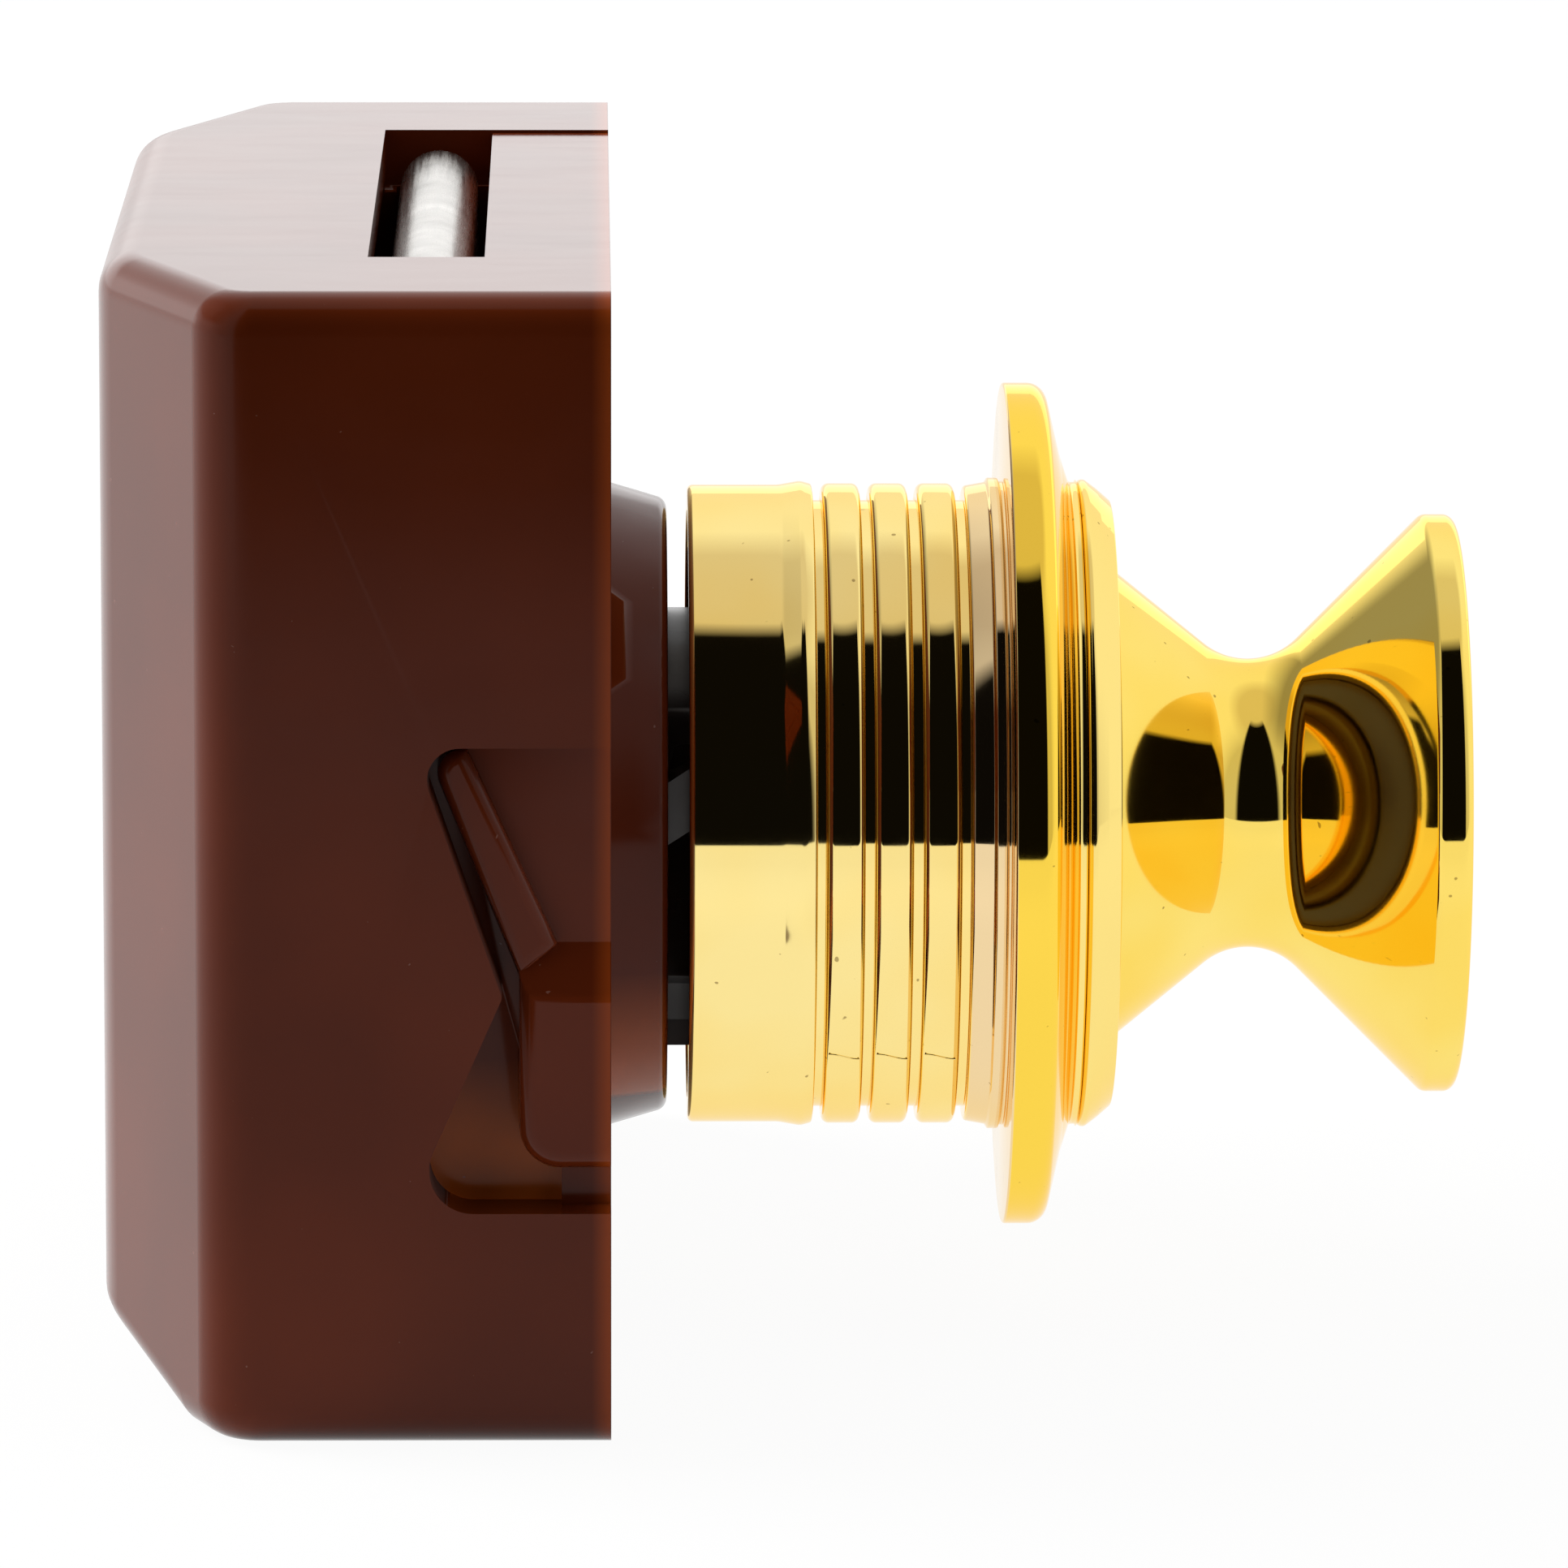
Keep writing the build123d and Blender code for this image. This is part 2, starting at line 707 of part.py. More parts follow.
def coil_path(start, length, radius, end_pitch, end_turns, turns):
    """Points and directions along a compression spring, every half turn."""
    body_pitch = (length - 2 * end_turns * end_pitch) / turns
    count = 2 * (turns + 2 * end_turns)
    path = []
    along = start
    for step in range(count + 1):
        in_end = step < 2 * end_turns or step > count - 2 * end_turns
        at_change = step in (2 * end_turns, count - 2 * end_turns)
        pitch = (end_pitch + body_pitch) / 2 if at_change else end_pitch if in_end else body_pitch
        angle = pi * step
        place = Vector(along, radius * cos(angle), radius * sin(angle))
        heading = Vector(pitch / (2 * pi), -radius * sin(angle), radius * cos(angle)).normalized()
        path.append((place, heading))
        next_in_end = step < 2 * end_turns or step >= count - 2 * end_turns
        along += (end_pitch if next_in_end else body_pitch) / 2
    return path


def biarc(path):
    """Two tangent arcs for each pair of neighbouring points on the path."""
    arcs = []
    for (here, heading), (there, arriving) in zip(path, path[1:]):
        reach = there - here
        both = heading + arriving
        slack = 2 * (1 - heading.dot(arriving))
        along = reach.dot(both)
        handle = (sqrt(along**2 + slack * reach.dot(reach)) - along) / slack
        first = here + heading * handle
        second = there - arriving * handle
        middle = (first + second) / 2
        turned = (second - first).normalized()
        arcs.append(TangentArc(here, middle, tangent=heading))
        arcs.append(TangentArc(middle, there, tangent=turned))
    return arcs


# The main spring, from the washer to the plunger's web
coil_start = cavity_back + spring_washer_thickness + seat_gap + spring_wire / 2
coil_length = plunger_web_back - seat_gap - spring_wire / 2 - coil_start
coil = coil_path(
    coil_start, coil_length, spring_mean_radius, spring_end_pitch, spring_end_turns, spring_active_turns
)
with BuildPart() as main_spring:
    with BuildLine() as coil_line:
        biarc(coil)
    with BuildSketch(Plane(origin=coil[0][0], z_dir=coil[0][1])):
        Circle(spring_wire / 2)
    sweep()
main_spring.part.label = "main_spring"
export_step(main_spring.part, "parts/main_spring.step")

# The spindle, with a groove for each setting of the knob
with BuildPart() as spindle:
    with BuildSketch(Plane.XY):
        outline = [
            (spindle_tail, 0),
            (spindle_tail, spindle_radius - spindle_tail_chamfer),
            (spindle_tail + spindle_tail_chamfer, spindle_radius),
        ]
        for number in range(spindle_groove_count):
            middle = clip_reach - depth_travel + number * spindle_groove_pitch
            outline += [
                (middle - spindle_groove_mouth / 2, spindle_radius),
                (middle - spindle_groove_floor / 2, spindle_groove_radius),
                (middle + spindle_groove_floor / 2, spindle_groove_radius),
                (middle + spindle_groove_mouth / 2, spindle_radius),
            ]
        outline += [
            (knob_back, spindle_radius),
            (knob_back, tenon_radius),
            (knob_back + tenon_length, tenon_radius),
            (knob_back + tenon_length, 0),
        ]
        with BuildLine():
            Polyline(*outline, close=True)
        make_face()
    revolve(axis=Axis.X)
    with BuildSketch(Plane.YZ.offset(screw_tip - screw_clearance)):
        Circle(screw_shank_radius + screw_clearance)
    extrude(amount=knob_back + tenon_length - screw_tip + overrun, mode=Mode.SUBTRACT)
spindle.part.label = "spindle"
export_step(spindle.part, "parts/spindle.step")

# The wire clip across the plunger's web that stands in one groove of the spindle
with BuildPart() as spindle_clip:
    with BuildLine():
        FilletPolyline(
            (clip_reach, -clip_leg, -clip_leg_foot),
            (clip_reach, -clip_leg, clip_bow_height),
            (clip_reach, clip_leg, clip_bow_height),
            (clip_reach, clip_leg, -clip_leg_foot),
            radius=clip_bow_radius,
        )
    with BuildSketch(Plane((clip_reach, -clip_leg, -clip_leg_foot))):
        Circle(clip_wire / 2)
    sweep()
spindle_clip.part.label = "spindle_clip"
export_step(spindle_clip.part, "parts/spindle_clip.step")

# The knob body: the waist is the meeting of two cones, rounded
back_angle = radians(knob_back_cone_angle)
front_angle = radians(knob_front_cone_angle)
waist_centre = knob_waist_radius + knob_waist_fillet
back_slope = tan(back_angle)
front_slope = tan(front_angle)
back_touch = (
    knob_waist_reach - knob_waist_fillet * sin(back_angle),
    waist_centre - knob_waist_fillet * cos(back_angle),
)
front_touch = (
    knob_waist_reach + knob_waist_fillet * sin(front_angle),
    waist_centre - knob_waist_fillet * cos(front_angle),
)
knob_base_front = back_touch[0] - (knob_base_radius - back_touch[1]) / back_slope
knob_rim_back = front_touch[0] + (knob_rim_radius - front_touch[1]) / front_slope
with BuildPart() as knob_body:
    with BuildSketch(Plane.XY):
        with BuildLine():
            Line((knob_back, 0), (knob_back, knob_base_radius))
            Line((knob_back, knob_base_radius), (knob_base_front, knob_base_radius))
            Line((knob_base_front, knob_base_radius), back_touch)
            ThreePointArc(back_touch, (knob_waist_reach, knob_waist_radius), front_touch)
            Line(front_touch, (knob_rim_back, knob_rim_radius))
            Line((knob_rim_back, knob_rim_radius), (knob_rim_front, knob_rim_radius))
            Line((knob_rim_front, knob_rim_radius), (knob_rim_front, 0))
            Line((knob_rim_front, 0), (knob_back, 0))
        face = make_face()
        rim_corners = face.vertices().filter_by(lambda v: v.Y > knob_rim_radius - knob_rim_fillet)
        fillet(rim_corners, knob_rim_fillet)
        back_corner = face.vertices().sort_by_distance(Vector(knob_back, knob_base_radius, 0))[0]
        chamfer(back_corner, knob_base_edge)
    revolve(axis=Axis.X)
    with BuildSketch(Plane.YZ.offset(knob_back - overrun)):
        Circle(tenon_radius + screw_clearance)
    extrude(amount=tenon_length + overrun + screw_clearance, mode=Mode.SUBTRACT)
    with BuildSketch(Plane.YZ.offset(knob_back)):
        Circle(screw_shank_radius + screw_clearance)
    extrude(amount=knob_rim_front - knob_back, mode=Mode.SUBTRACT)
    with BuildSketch(Plane.YZ.offset(screw_head_front - screw_head_height)):
        Circle(screw_head_radius + guide_gap)
    extrude(amount=knob_rim_front - screw_head_front + screw_head_height, mode=Mode.SUBTRACT)
    with BuildSketch(Plane.YZ.offset(knob_rim_front - cap_thickness)):
        Circle(cap_radius + cap_gap)
    extrude(amount=cap_thickness + overrun, mode=Mode.SUBTRACT)
knob_body.part.label = "knob_body"
export_step(knob_body.part, "parts/knob_body.step")

# The cap that closes the knob's face
with BuildPart() as knob_cap:
    cap_back = knob_rim_front - cap_thickness
    with BuildSketch(Plane.XY):
        with BuildLine():
            Polyline((knob_crown, 0), (cap_back, 0), (cap_back, cap_radius), (cap_edge, cap_radius))
            TangentArc((knob_crown, 0), (cap_edge, cap_radius), tangent=(0, 1))
        make_face()
    revolve(axis=Axis.X)
knob_cap.part.label = "knob_cap"
export_step(knob_cap.part, "parts/knob_cap.step")

# The screw that holds the knob on the spindle
with BuildPart() as knob_screw:
    with BuildSketch(Plane.YZ.offset(screw_tip)):
        Circle(screw_shank_radius)
    extrude(amount=screw_head_front - screw_tip)
    with BuildSketch(Plane.YZ.offset(screw_head_front - screw_head_height)):
        Circle(screw_head_radius)
    extrude(amount=screw_head_height)
    head_rim = knob_screw.edges().filter_by(GeomType.CIRCLE).sort_by(Axis.X)[-1]
    fillet(head_rim, screw_head_fillet)
    with BuildSketch(Plane.YZ.offset(screw_head_front)):
        Rectangle(2 * screw_slot_reach, screw_slot_width)
        Rectangle(screw_slot_width, 2 * screw_slot_reach)
    extrude(amount=-screw_slot_depth, mode=Mode.SUBTRACT)
knob_screw.part.label = "knob_screw"
export_step(knob_screw.part, "parts/knob_screw.step")

# The escutcheon: a ribbed sleeve, a flange that covers the door hole, and a collar
with BuildPart() as escutcheon:
    with BuildSketch(Plane.XY):
        half_groove = groove_width / 2
        swell_radius = sleeve_radius + sleeve_swell
        rib_edge = rib_radius - rib_crown
        grooves = [groove_first_reach + number * groove_pitch for number in range(groove_count)]
        with BuildLine():
            Polyline(
                (flange_back, sleeve_bore_radius),
                (sleeve_back, sleeve_bore_radius),
                (sleeve_back, sleeve_radius - sleeve_edge),
                (sleeve_back + sleeve_edge, sleeve_radius),
                (groove_first_reach - half_groove - sleeve_swell_length, sleeve_radius),
            )
            ThreePointArc(
                (groove_first_reach - half_groove - sleeve_swell_length, sleeve_radius),
                (groove_first_reach - half_groove - sleeve_swell_length / 3, swell_radius),
                (groove_first_reach - half_groove, rib_edge),
            )
            for groove in grooves:
                Polyline(
                    (groove - half_groove, rib_edge),
                    (groove - half_groove / 2, rib_edge - groove_depth),
                    (groove + half_groove / 2, rib_edge - groove_depth),
                    (groove + half_groove, rib_edge),
                )
            for here, there in zip(grooves, grooves[1:]):
                ThreePointArc(
                    (here + half_groove, rib_edge),
                    ((here + there) / 2, rib_radius),
                    (there - half_groove, rib_edge),
                )
            Polyline(
                (grooves[-1] + half_groove, rib_edge),
                (bead_back, rib_radius),
                (bead_back + sleeve_edge / 2, bead_radius),
                (flange_back - sleeve_edge / 2, bead_radius),
                (flange_back, bead_radius + sleeve_edge / 2),
                (flange_back, flange_radius),
                (flange_rim_front, flange_radius),
                (flange_face_front, flange_face_radius),
                (neck_front, neck_radius),
                (collar_back, neck_radius),
                (collar_back, collar_radius),
                (collar_shoulder_front, collar_shoulder_radius),
                (collar_front, collar_front_radius),
                (collar_front, sleeve_bore_radius),
                (flange_back, sleeve_bore_radius),
            )
        face = make_face()
        rim = face.vertices().sort_by_distance(Vector(flange_rim_front, flange_radius, 0))[0]
        fillet(rim, flange_rim_fillet)
    revolve(axis=Axis.X)
escutcheon.part.label = "escutcheon"
export_step(escutcheon.part, "parts/escutcheon.step")

# The guide bush in the sleeve that the knob slides in
with BuildPart() as escutcheon_liner:
    liner_back = sleeve_back + liner_back_gap
    liner_front = collar_front - liner_front_recess
    with BuildSketch(Plane.XY):
        with BuildLine():
            Polyline(
                (liner_back, liner_wide_bore),
                (liner_back, liner_radius),
                (liner_front, liner_radius),
                (liner_front, liner_bore),
                (liner_step, liner_bore),
                (liner_step, liner_wide_bore),
                close=True,
            )
        make_face()
    revolve(axis=Axis.X)
escutcheon_liner.part.label = "escutcheon_liner"
export_step(escutcheon_liner.part, "parts/escutcheon_liner.step")

# The least gap between the spring's turns, measured on points along its centre line
arc_points = 12
samples = [arc.position_at(n / arc_points) for arc in coil_line.edges() for n in range(arc_points)]
arcs_in_turn = 4
nearest = min(
    (samples[n] - samples[m]).length
    for n in range(len(samples))
    for m in range(n + arcs_in_turn * arc_points // 2, len(samples))
)
print("main spring, least gap to itself:", round(nearest - spring_wire, 3))
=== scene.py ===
"""Looks of the push button cabinet lock: brown moulded case, gold-plated sleeve and knob.

Named lengths are in millimetres, and MM turns them into Blender's metres. The frame's +X
runs along the knob axis, +Z is the way the bolt comes out. The photograph looks along +Y
at one short end of the case.
"""

import math

import bmesh
import bpy
from mathutils import Matrix, Vector


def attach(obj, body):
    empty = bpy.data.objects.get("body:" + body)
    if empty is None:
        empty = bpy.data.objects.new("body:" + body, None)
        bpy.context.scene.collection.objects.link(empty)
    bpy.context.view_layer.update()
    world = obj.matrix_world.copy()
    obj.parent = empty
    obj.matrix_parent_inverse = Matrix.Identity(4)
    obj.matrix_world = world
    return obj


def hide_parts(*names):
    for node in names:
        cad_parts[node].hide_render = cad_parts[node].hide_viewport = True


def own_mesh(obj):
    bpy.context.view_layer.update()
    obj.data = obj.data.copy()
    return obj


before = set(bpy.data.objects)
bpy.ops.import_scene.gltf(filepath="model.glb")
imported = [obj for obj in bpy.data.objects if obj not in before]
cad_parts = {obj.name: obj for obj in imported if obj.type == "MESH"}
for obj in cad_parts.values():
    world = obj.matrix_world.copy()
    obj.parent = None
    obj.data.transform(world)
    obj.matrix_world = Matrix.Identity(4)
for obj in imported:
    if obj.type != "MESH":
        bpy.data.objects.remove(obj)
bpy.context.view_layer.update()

MM = 0.001

# Camera: a long lens a little above the knob axis
CAMERA_PLACE_MM = (-0.995, -438.737, 79.644)
CAMERA_YAW = 0.0177
CAMERA_PITCH = 0.1779
CAMERA_ROLL = 0.0026
CAMERA_FOCAL_PIXELS = 14167.99
IMAGE_PIXELS = 1932
SENSOR_MM = 36.0
CAMERA_NEAREST = 10.0

# Sleeve, flange and collar, as distances along the axis and radii
SLEEVE_BACK = 3.0
SLEEVE_RADIUS = 12.35
SLEEVE_BORE = 11.4
SLEEVE_SWELL = 0.15
SLEEVE_SWELL_LENGTH = 1.3
GROOVE_FIRST = 8.0
GROOVE_PITCH = 1.833
GROOVE_COUNT = 4
GROOVE_WIDTH = 0.36
GROOVE_FLOOR_RADIUS = 11.75
RIB_RADIUS = 12.4
RIB_HALF_WIDTH = (GROOVE_PITCH - GROOVE_WIDTH) / 2
RIB_SHOULDER = 0.3
RIB_ROOT = 0.1
BEAD_BACK = 14.62
BEAD_RADIUS = 12.62
FLANGE_BACK = 15.19
FLANGE_RADIUS = 16.3
FLANGE_RIM_FRONT = 16.75
FLANGE_RIM_FILLET = 0.75
FLANGE_FACE_RADIUS = 13.7
FLANGE_FACE_FRONT = 17.35
NECK_RADIUS = 12.45
NECK_FRONT = 17.75
COLLAR_BACK = 18.05
COLLAR_RADIUS = 12.8
COLLAR_SHOULDER_FRONT = 18.85
COLLAR_SHOULDER_RADIUS = 12.2
COLLAR_FRONT = 19.37
COLLAR_FRONT_RADIUS = 11.75
PARTING_ANGLE = -41.0
PARTING_WIDTH = 0.035
SEAM_SLANT = 0.012
SEAM_STEPS = 12

# Knob
KNOB_BACK = 14.6
KNOB_BASE_RADIUS = 10.0
KNOB_BACK_CONE = 38.9
KNOB_FRONT_CONE = 45.0
KNOB_WAIST_RADIUS = 5.6
KNOB_WAIST_PLACE = 24.75
KNOB_WAIST_FILLET = 2.7
KNOB_RIM_RADIUS = 11.2
KNOB_RIM_FRONT = 32.73
KNOB_RIM_FILLET = 0.45
KNOB_CROWN = 33.15
CAP_RADIUS = 10.3
CAP_EDGE = 32.65
CAP_BACK = 31.73
CAP_GAP = 0.04
CAP_SEAT = 0.02
CAP_STEPS = 40

# Guide bush in the sleeve
LINER_BACK = 3.15
LINER_FRONT = 18.67
LINER_RADIUS = 11.37
LINER_BORE = 10.06
LINER_WIDE_BORE = 10.95
LINER_STEP = 7.0

# Side pockets of the case: their floor, off its middle, and the stretch with a thin wall behind,
# where a painted orange glow stands for light coming through
POCKET_LEVEL = 27.45
POCKET_BACK = -8.4
POCKET_FOOT = -10.2
POCKET_GLOW_LOW = -9.6
POCKET_GLOW_HIGH = -4.5

# The edge of case and cover at the door side, where a painted orange glow stands for light coming
# through
EDGE_DEPTH = 0.7
EDGE_FRONT = 0.05
EDGE_FACE = 0.01

# Main spring
SPRING_WIRE = 1.0
SPRING_RADIUS = 5.75
SPRING_TURNS = 9.0
SPRING_BACK = -16.68
SPRING_FRONT = 9.48

LATHE_STEPS = 288

# Moulded faces that meet at less than the flat angle, in degrees, are one face; past the
# sharp angles an edge is shaded as an edge
FLAT_ANGLE = 0.1
SHARP_MOULDED = 32.0
SHARP_TURNED = 38.0

# Doubled points that lie closer than this are one point
MERGE_TURNED = 0.001
MERGE_MOULDED = 0.002

# Brown ABS: slow colour clouds, dust, wipes of a cloth, and sink waves of the moulding
CLOUD_SIZE = 11.0
DUST_SIZE = 0.3
WIPE_SIZE = 2.2
SINK_SIZE = 12.0
SINK_DEPTH = 0.012

# Black acetal: patches of sheen, and orange peel
SHEEN_SIZE = 5.0
PEEL_SIZE = 0.6
PEEL_DEPTH = 0.004

# Gold plating: slow change of tint, pits, haze, and the wave of the casting under it
TINT_SIZE = 8.0
PIT_SIZE = 0.35
HAZE_SIZE = 3.0
WAVE_SIZE = 4.5
WAVE_DEPTH = 0.0035
ZONE_EDGE = 0.04

# Zinc-plated steel: drawing lines, which are finer in fact, and blotches of the plating
LINE_SIZE = 0.22
LINE_STRETCH = 0.03
LINE_DEPTH = 0.005
BLOTCH_SIZE = 2.5

# The values of a noise between which a colour or a roughness changes
TINT_LOW = 0.35
TINT_HIGH = 0.65
ROUGH_LOW = 0.3
ROUGH_HIGH = 0.7

# Sockets of a colour mix, which share their names with those for numbers
MIX_FROM = 6
MIX_TO = 7


# Small helpers for nodes and colours
def set_inputs(tree, node, inputs):
    """Sets a node's inputs, or links them where a socket or another node is given.

    A node stands for its first output in use.
    """
    for key, value in inputs.items():
        if isinstance(value, bpy.types.Node):
            value = next(output for output in value.outputs if output.enabled)
        if isinstance(value, bpy.types.NodeSocket):
            tree.links.new(value, node.inputs[key])
        else:
            node.inputs[key].default_value = value


def add_node(tree, kind, settings=None, inputs=None):
    """Adds one node, sets its properties, and sets or links its inputs."""
    node = tree.nodes.new(kind)
    for name, value in (settings or {}).items():
        setattr(node, name, value)
    set_inputs(tree, node, inputs or {})
    return node


def colour(hex_value):
    """A linear colour from an sRGB hex value."""
    parts = [int(hex_value[i : i + 2], 16) / 255 for i in (0, 2, 4)]
    linear = [p / 12.92 if p <= 0.04045 else ((p + 0.055) / 1.055) ** 2.4 for p in parts]
    return (*linear, 1.0)


def per_metre(size_mm):
    """A texture scale at which one feature is about this many millimetres."""
    return 1 / (size_mm * MM)


def new_material(name):
    """A material with its shader and output joined, and its Object coordinates."""
    material = bpy.data.materials.new(name)
    material.use_nodes = True
    tree = material.node_tree
    tree.nodes.clear()
    shader = add_node(tree, "ShaderNodeBsdfPrincipled")
    add_node(tree, "ShaderNodeOutputMaterial", inputs={"Surface": shader})
    point = add_node(tree, "ShaderNodeTexCoord").outputs["Object"]
    return material, tree, shader, point


def zone(tree, ramps, share=None):
    """The place where several ramps overlap, times a share.

    A ramp is a value, the two values between which it changes, and its share at each.
    """
    overlap = share
    for value, low, high, at_low, at_high in ramps:
        ramp = add_node(
            tree,
            "ShaderNodeMapRange",
            inputs={
                "Value": value,
                "From Min": low,
                "From Max": high,
                "To Min": at_low,
                "To Max": at_high,
            },
        )
        if overlap is None:
            overlap = ramp
        else:
            overlap = add_node(
                tree, "ShaderNodeMath", {"operation": "MULTIPLY"}, {0: overlap, 1: ramp}
            )
    return overlap


# Materials
def brown_abs(name, base, deep):
    """Injection-moulded ABS: the eye gets a deep gloss with soft sink waves and faint wipes.

    The pigment lets a little light through, so the thin edge at the door side and the thin
    floor of the side pockets turn orange. That orange is painted light: a glow of light coming
    through, painted into the colour.
    """
    material, tree, shader, point = new_material(name)
    axes = add_node(tree, "ShaderNodeSeparateXYZ", inputs={"Vector": point})
    along, across, upright = axes.outputs
    clouds = add_node(
        tree,
        "ShaderNodeTexNoise",
        inputs={"Vector": point, "Scale": per_metre(CLOUD_SIZE), "Detail": 2.0},
    )
    cloudy = zone(tree, [(clouds, TINT_LOW, TINT_HIGH, 0.0, 1.0)])
    tinted = add_node(
        tree,
        "ShaderNodeMix",
        {"data_type": "RGBA"},
        {"Factor": cloudy, MIX_FROM: colour(base), MIX_TO: colour(deep)},
    )
    # Painted light: an orange glow at the door-side edge, for light coming through the thin
    # plastic
    edge = zone(
        tree,
        [
            (along, -EDGE_DEPTH * MM, -EDGE_FRONT * MM, 0.0, 0.85),
            (along, -EDGE_FRONT * MM, -EDGE_FACE * MM, 1.0, 0.0),
        ],
    )
    edge_glow_painted = add_node(
        tree,
        "ShaderNodeMix",
        {"data_type": "RGBA"},
        {"Factor": edge, MIX_FROM: tinted, MIX_TO: colour("9A4316")},
    )
    aside = add_node(tree, "ShaderNodeMath", {"operation": "ABSOLUTE"}, {0: across})
    # Painted light: an orange glow on the pocket floors where the wall is thin, for light coming
    # through
    pocket = zone(
        tree,
        [
            (aside, POCKET_LEVEL * MM, (POCKET_LEVEL + 0.05) * MM, 0.85, 0.0),
            (upright, POCKET_GLOW_LOW * MM, POCKET_GLOW_HIGH * MM, 1.0, 0.0),
            (upright, POCKET_FOOT * MM, (POCKET_FOOT + 0.2) * MM, 0.0, 1.0),
            (along, POCKET_BACK * MM, (POCKET_BACK + 0.2) * MM, 0.0, 1.0),
        ],
    )
    pocket_glow_painted = add_node(
        tree,
        "ShaderNodeMix",
        {"data_type": "RGBA"},
        {"Factor": pocket, MIX_FROM: edge_glow_painted, MIX_TO: colour("D2691E")},
    )
    specks = add_node(
        tree,
        "ShaderNodeTexNoise",
        inputs={"Vector": point, "Scale": per_metre(DUST_SIZE), "Detail": 1.0},
    )
    dust = zone(tree, [(specks, 0.80, 0.82, 0.0, 0.3)])
    dusty = add_node(
        tree,
        "ShaderNodeMix",
        {"data_type": "RGBA"},
        {"Factor": dust, MIX_FROM: pocket_glow_painted, MIX_TO: colour("A98378")},
    )
    wiped = add_node(
        tree, "ShaderNodeMapping", inputs={"Vector": point, "Scale": (0.35, 1.0, 1.0)}
    )
    wipes = add_node(
        tree,
        "ShaderNodeTexNoise",
        inputs={
            "Vector": wiped,
            "Scale": per_metre(WIPE_SIZE),
            "Detail": 4.0,
            "Roughness": 0.6,
        },
    )
    waves = add_node(
        tree,
        "ShaderNodeTexNoise",
        inputs={"Vector": point, "Scale": per_metre(SINK_SIZE), "Detail": 1.0},
    )
    set_inputs(
        tree,
        shader,
        {
            "Base Color": dusty,
            "Roughness": zone(tree, [(wipes, ROUGH_LOW, ROUGH_HIGH, 0.125, 0.155)]),
            "Normal": add_node(
                tree, "ShaderNodeBump", inputs={"Height": waves, "Distance": SINK_DEPTH * MM}
            ),
            "IOR": 1.45,
            "Specular Tint": colour("A0A0A0"),
        },
    )
    return material


def black_acetal(name, rough_low, rough_high):
    """Moulded acetal: the eye gets a near-black, waxy gloss with a fine orange peel."""
    material, tree, shader, point = new_material(name)
    patches = add_node(
        tree,
        "ShaderNodeTexNoise",
        inputs={"Vector": point, "Scale": per_metre(SHEEN_SIZE), "Detail": 3.0},
    )
    tint = add_node(
        tree,
        "ShaderNodeMix",
        {"data_type": "RGBA"},
        {"Factor": patches, MIX_FROM: colour("35261F"), MIX_TO: colour("4A3931")},
    )
    peel = add_node(
        tree,
        "ShaderNodeTexNoise",
        inputs={"Vector": point, "Scale": per_metre(PEEL_SIZE), "Detail": 3.0},
    )
    set_inputs(
        tree,
        shader,
        {
            "Base Color": tint,
            "Roughness": zone(tree, [(patches, ROUGH_LOW, ROUGH_HIGH, rough_low, rough_high)]),
            "Normal": add_node(
                tree, "ShaderNodeBump", inputs={"Height": peel, "Distance": PEEL_DEPTH * MM}
            ),
            "IOR": 1.48,
        },
    )
    return material


def gold_plate(name, light, warm, rough_low, rough_high, plated=()):
    """Gold plating over bright nickel on a zinc casting: the eye gets a mirror with a faint wave.

    Small pits and a slow change of tint break up the mirror as on real plating. Each plated
    stretch along the axis is one where the gold is thicker or thinner, with its tint.
    """
    material, tree, shader, point = new_material(name)
    along = add_node(tree, "ShaderNodeSeparateXYZ", inputs={"Vector": point}).outputs["X"]
    slow = add_node(
        tree,
        "ShaderNodeTexNoise",
        inputs={"Vector": point, "Scale": per_metre(TINT_SIZE), "Detail": 2.0},
    )
    tint = add_node(
        tree,
        "ShaderNodeMix",
        {"data_type": "RGBA"},
        {
            "Factor": zone(tree, [(slow, TINT_LOW, TINT_HIGH, 0.0, 1.0)]),
            MIX_FROM: colour(light),
            MIX_TO: colour(warm),
        },
    )
    for start, end, stretch_tint in plated:
        stretch = zone(
            tree,
            [
                (along, (start - ZONE_EDGE) * MM, start * MM, 0.0, 1.0),
                (along, end * MM, (end + ZONE_EDGE) * MM, 1.0, 0.0),
            ],
        )
        tint = add_node(
            tree,
            "ShaderNodeMix",
            {"data_type": "RGBA"},
            {"Factor": stretch, MIX_FROM: tint, MIX_TO: colour(stretch_tint)},
        )
    pits = add_node(
        tree,
        "ShaderNodeTexNoise",
        inputs={"Vector": point, "Scale": per_metre(PIT_SIZE), "Detail": 0.0},
    )
    pitted = add_node(
        tree,
        "ShaderNodeMix",
        {"data_type": "RGBA"},
        {
            "Factor": zone(tree, [(pits, 0.85, 0.88, 0.0, 0.6)]),
            MIX_FROM: tint,
            MIX_TO: colour("6A4A1C"),
        },
    )
    haze = add_node(
        tree,
        "ShaderNodeTexNoise",
        inputs={"Vector": point, "Scale": per_metre(HAZE_SIZE), "Detail": 4.0},
    )
    wave = add_node(
        tree,
        "ShaderNodeTexNoise",
        inputs={"Vector": point, "Scale": per_metre(WAVE_SIZE), "Detail": 1.0},
    )
    set_inputs(
        tree,
        shader,
        {
            "Base Color": pitted,
            "Metallic": 1.0,
            "Roughness": zone(tree, [(haze, ROUGH_LOW, ROUGH_HIGH, rough_low, rough_high)]),
            "Normal": add_node(
                tree, "ShaderNodeBump", inputs={"Height": wave, "Distance": WAVE_DEPTH * MM}
            ),
            "Specular Tint": colour("FFF1D2"),
        },
    )
    return material


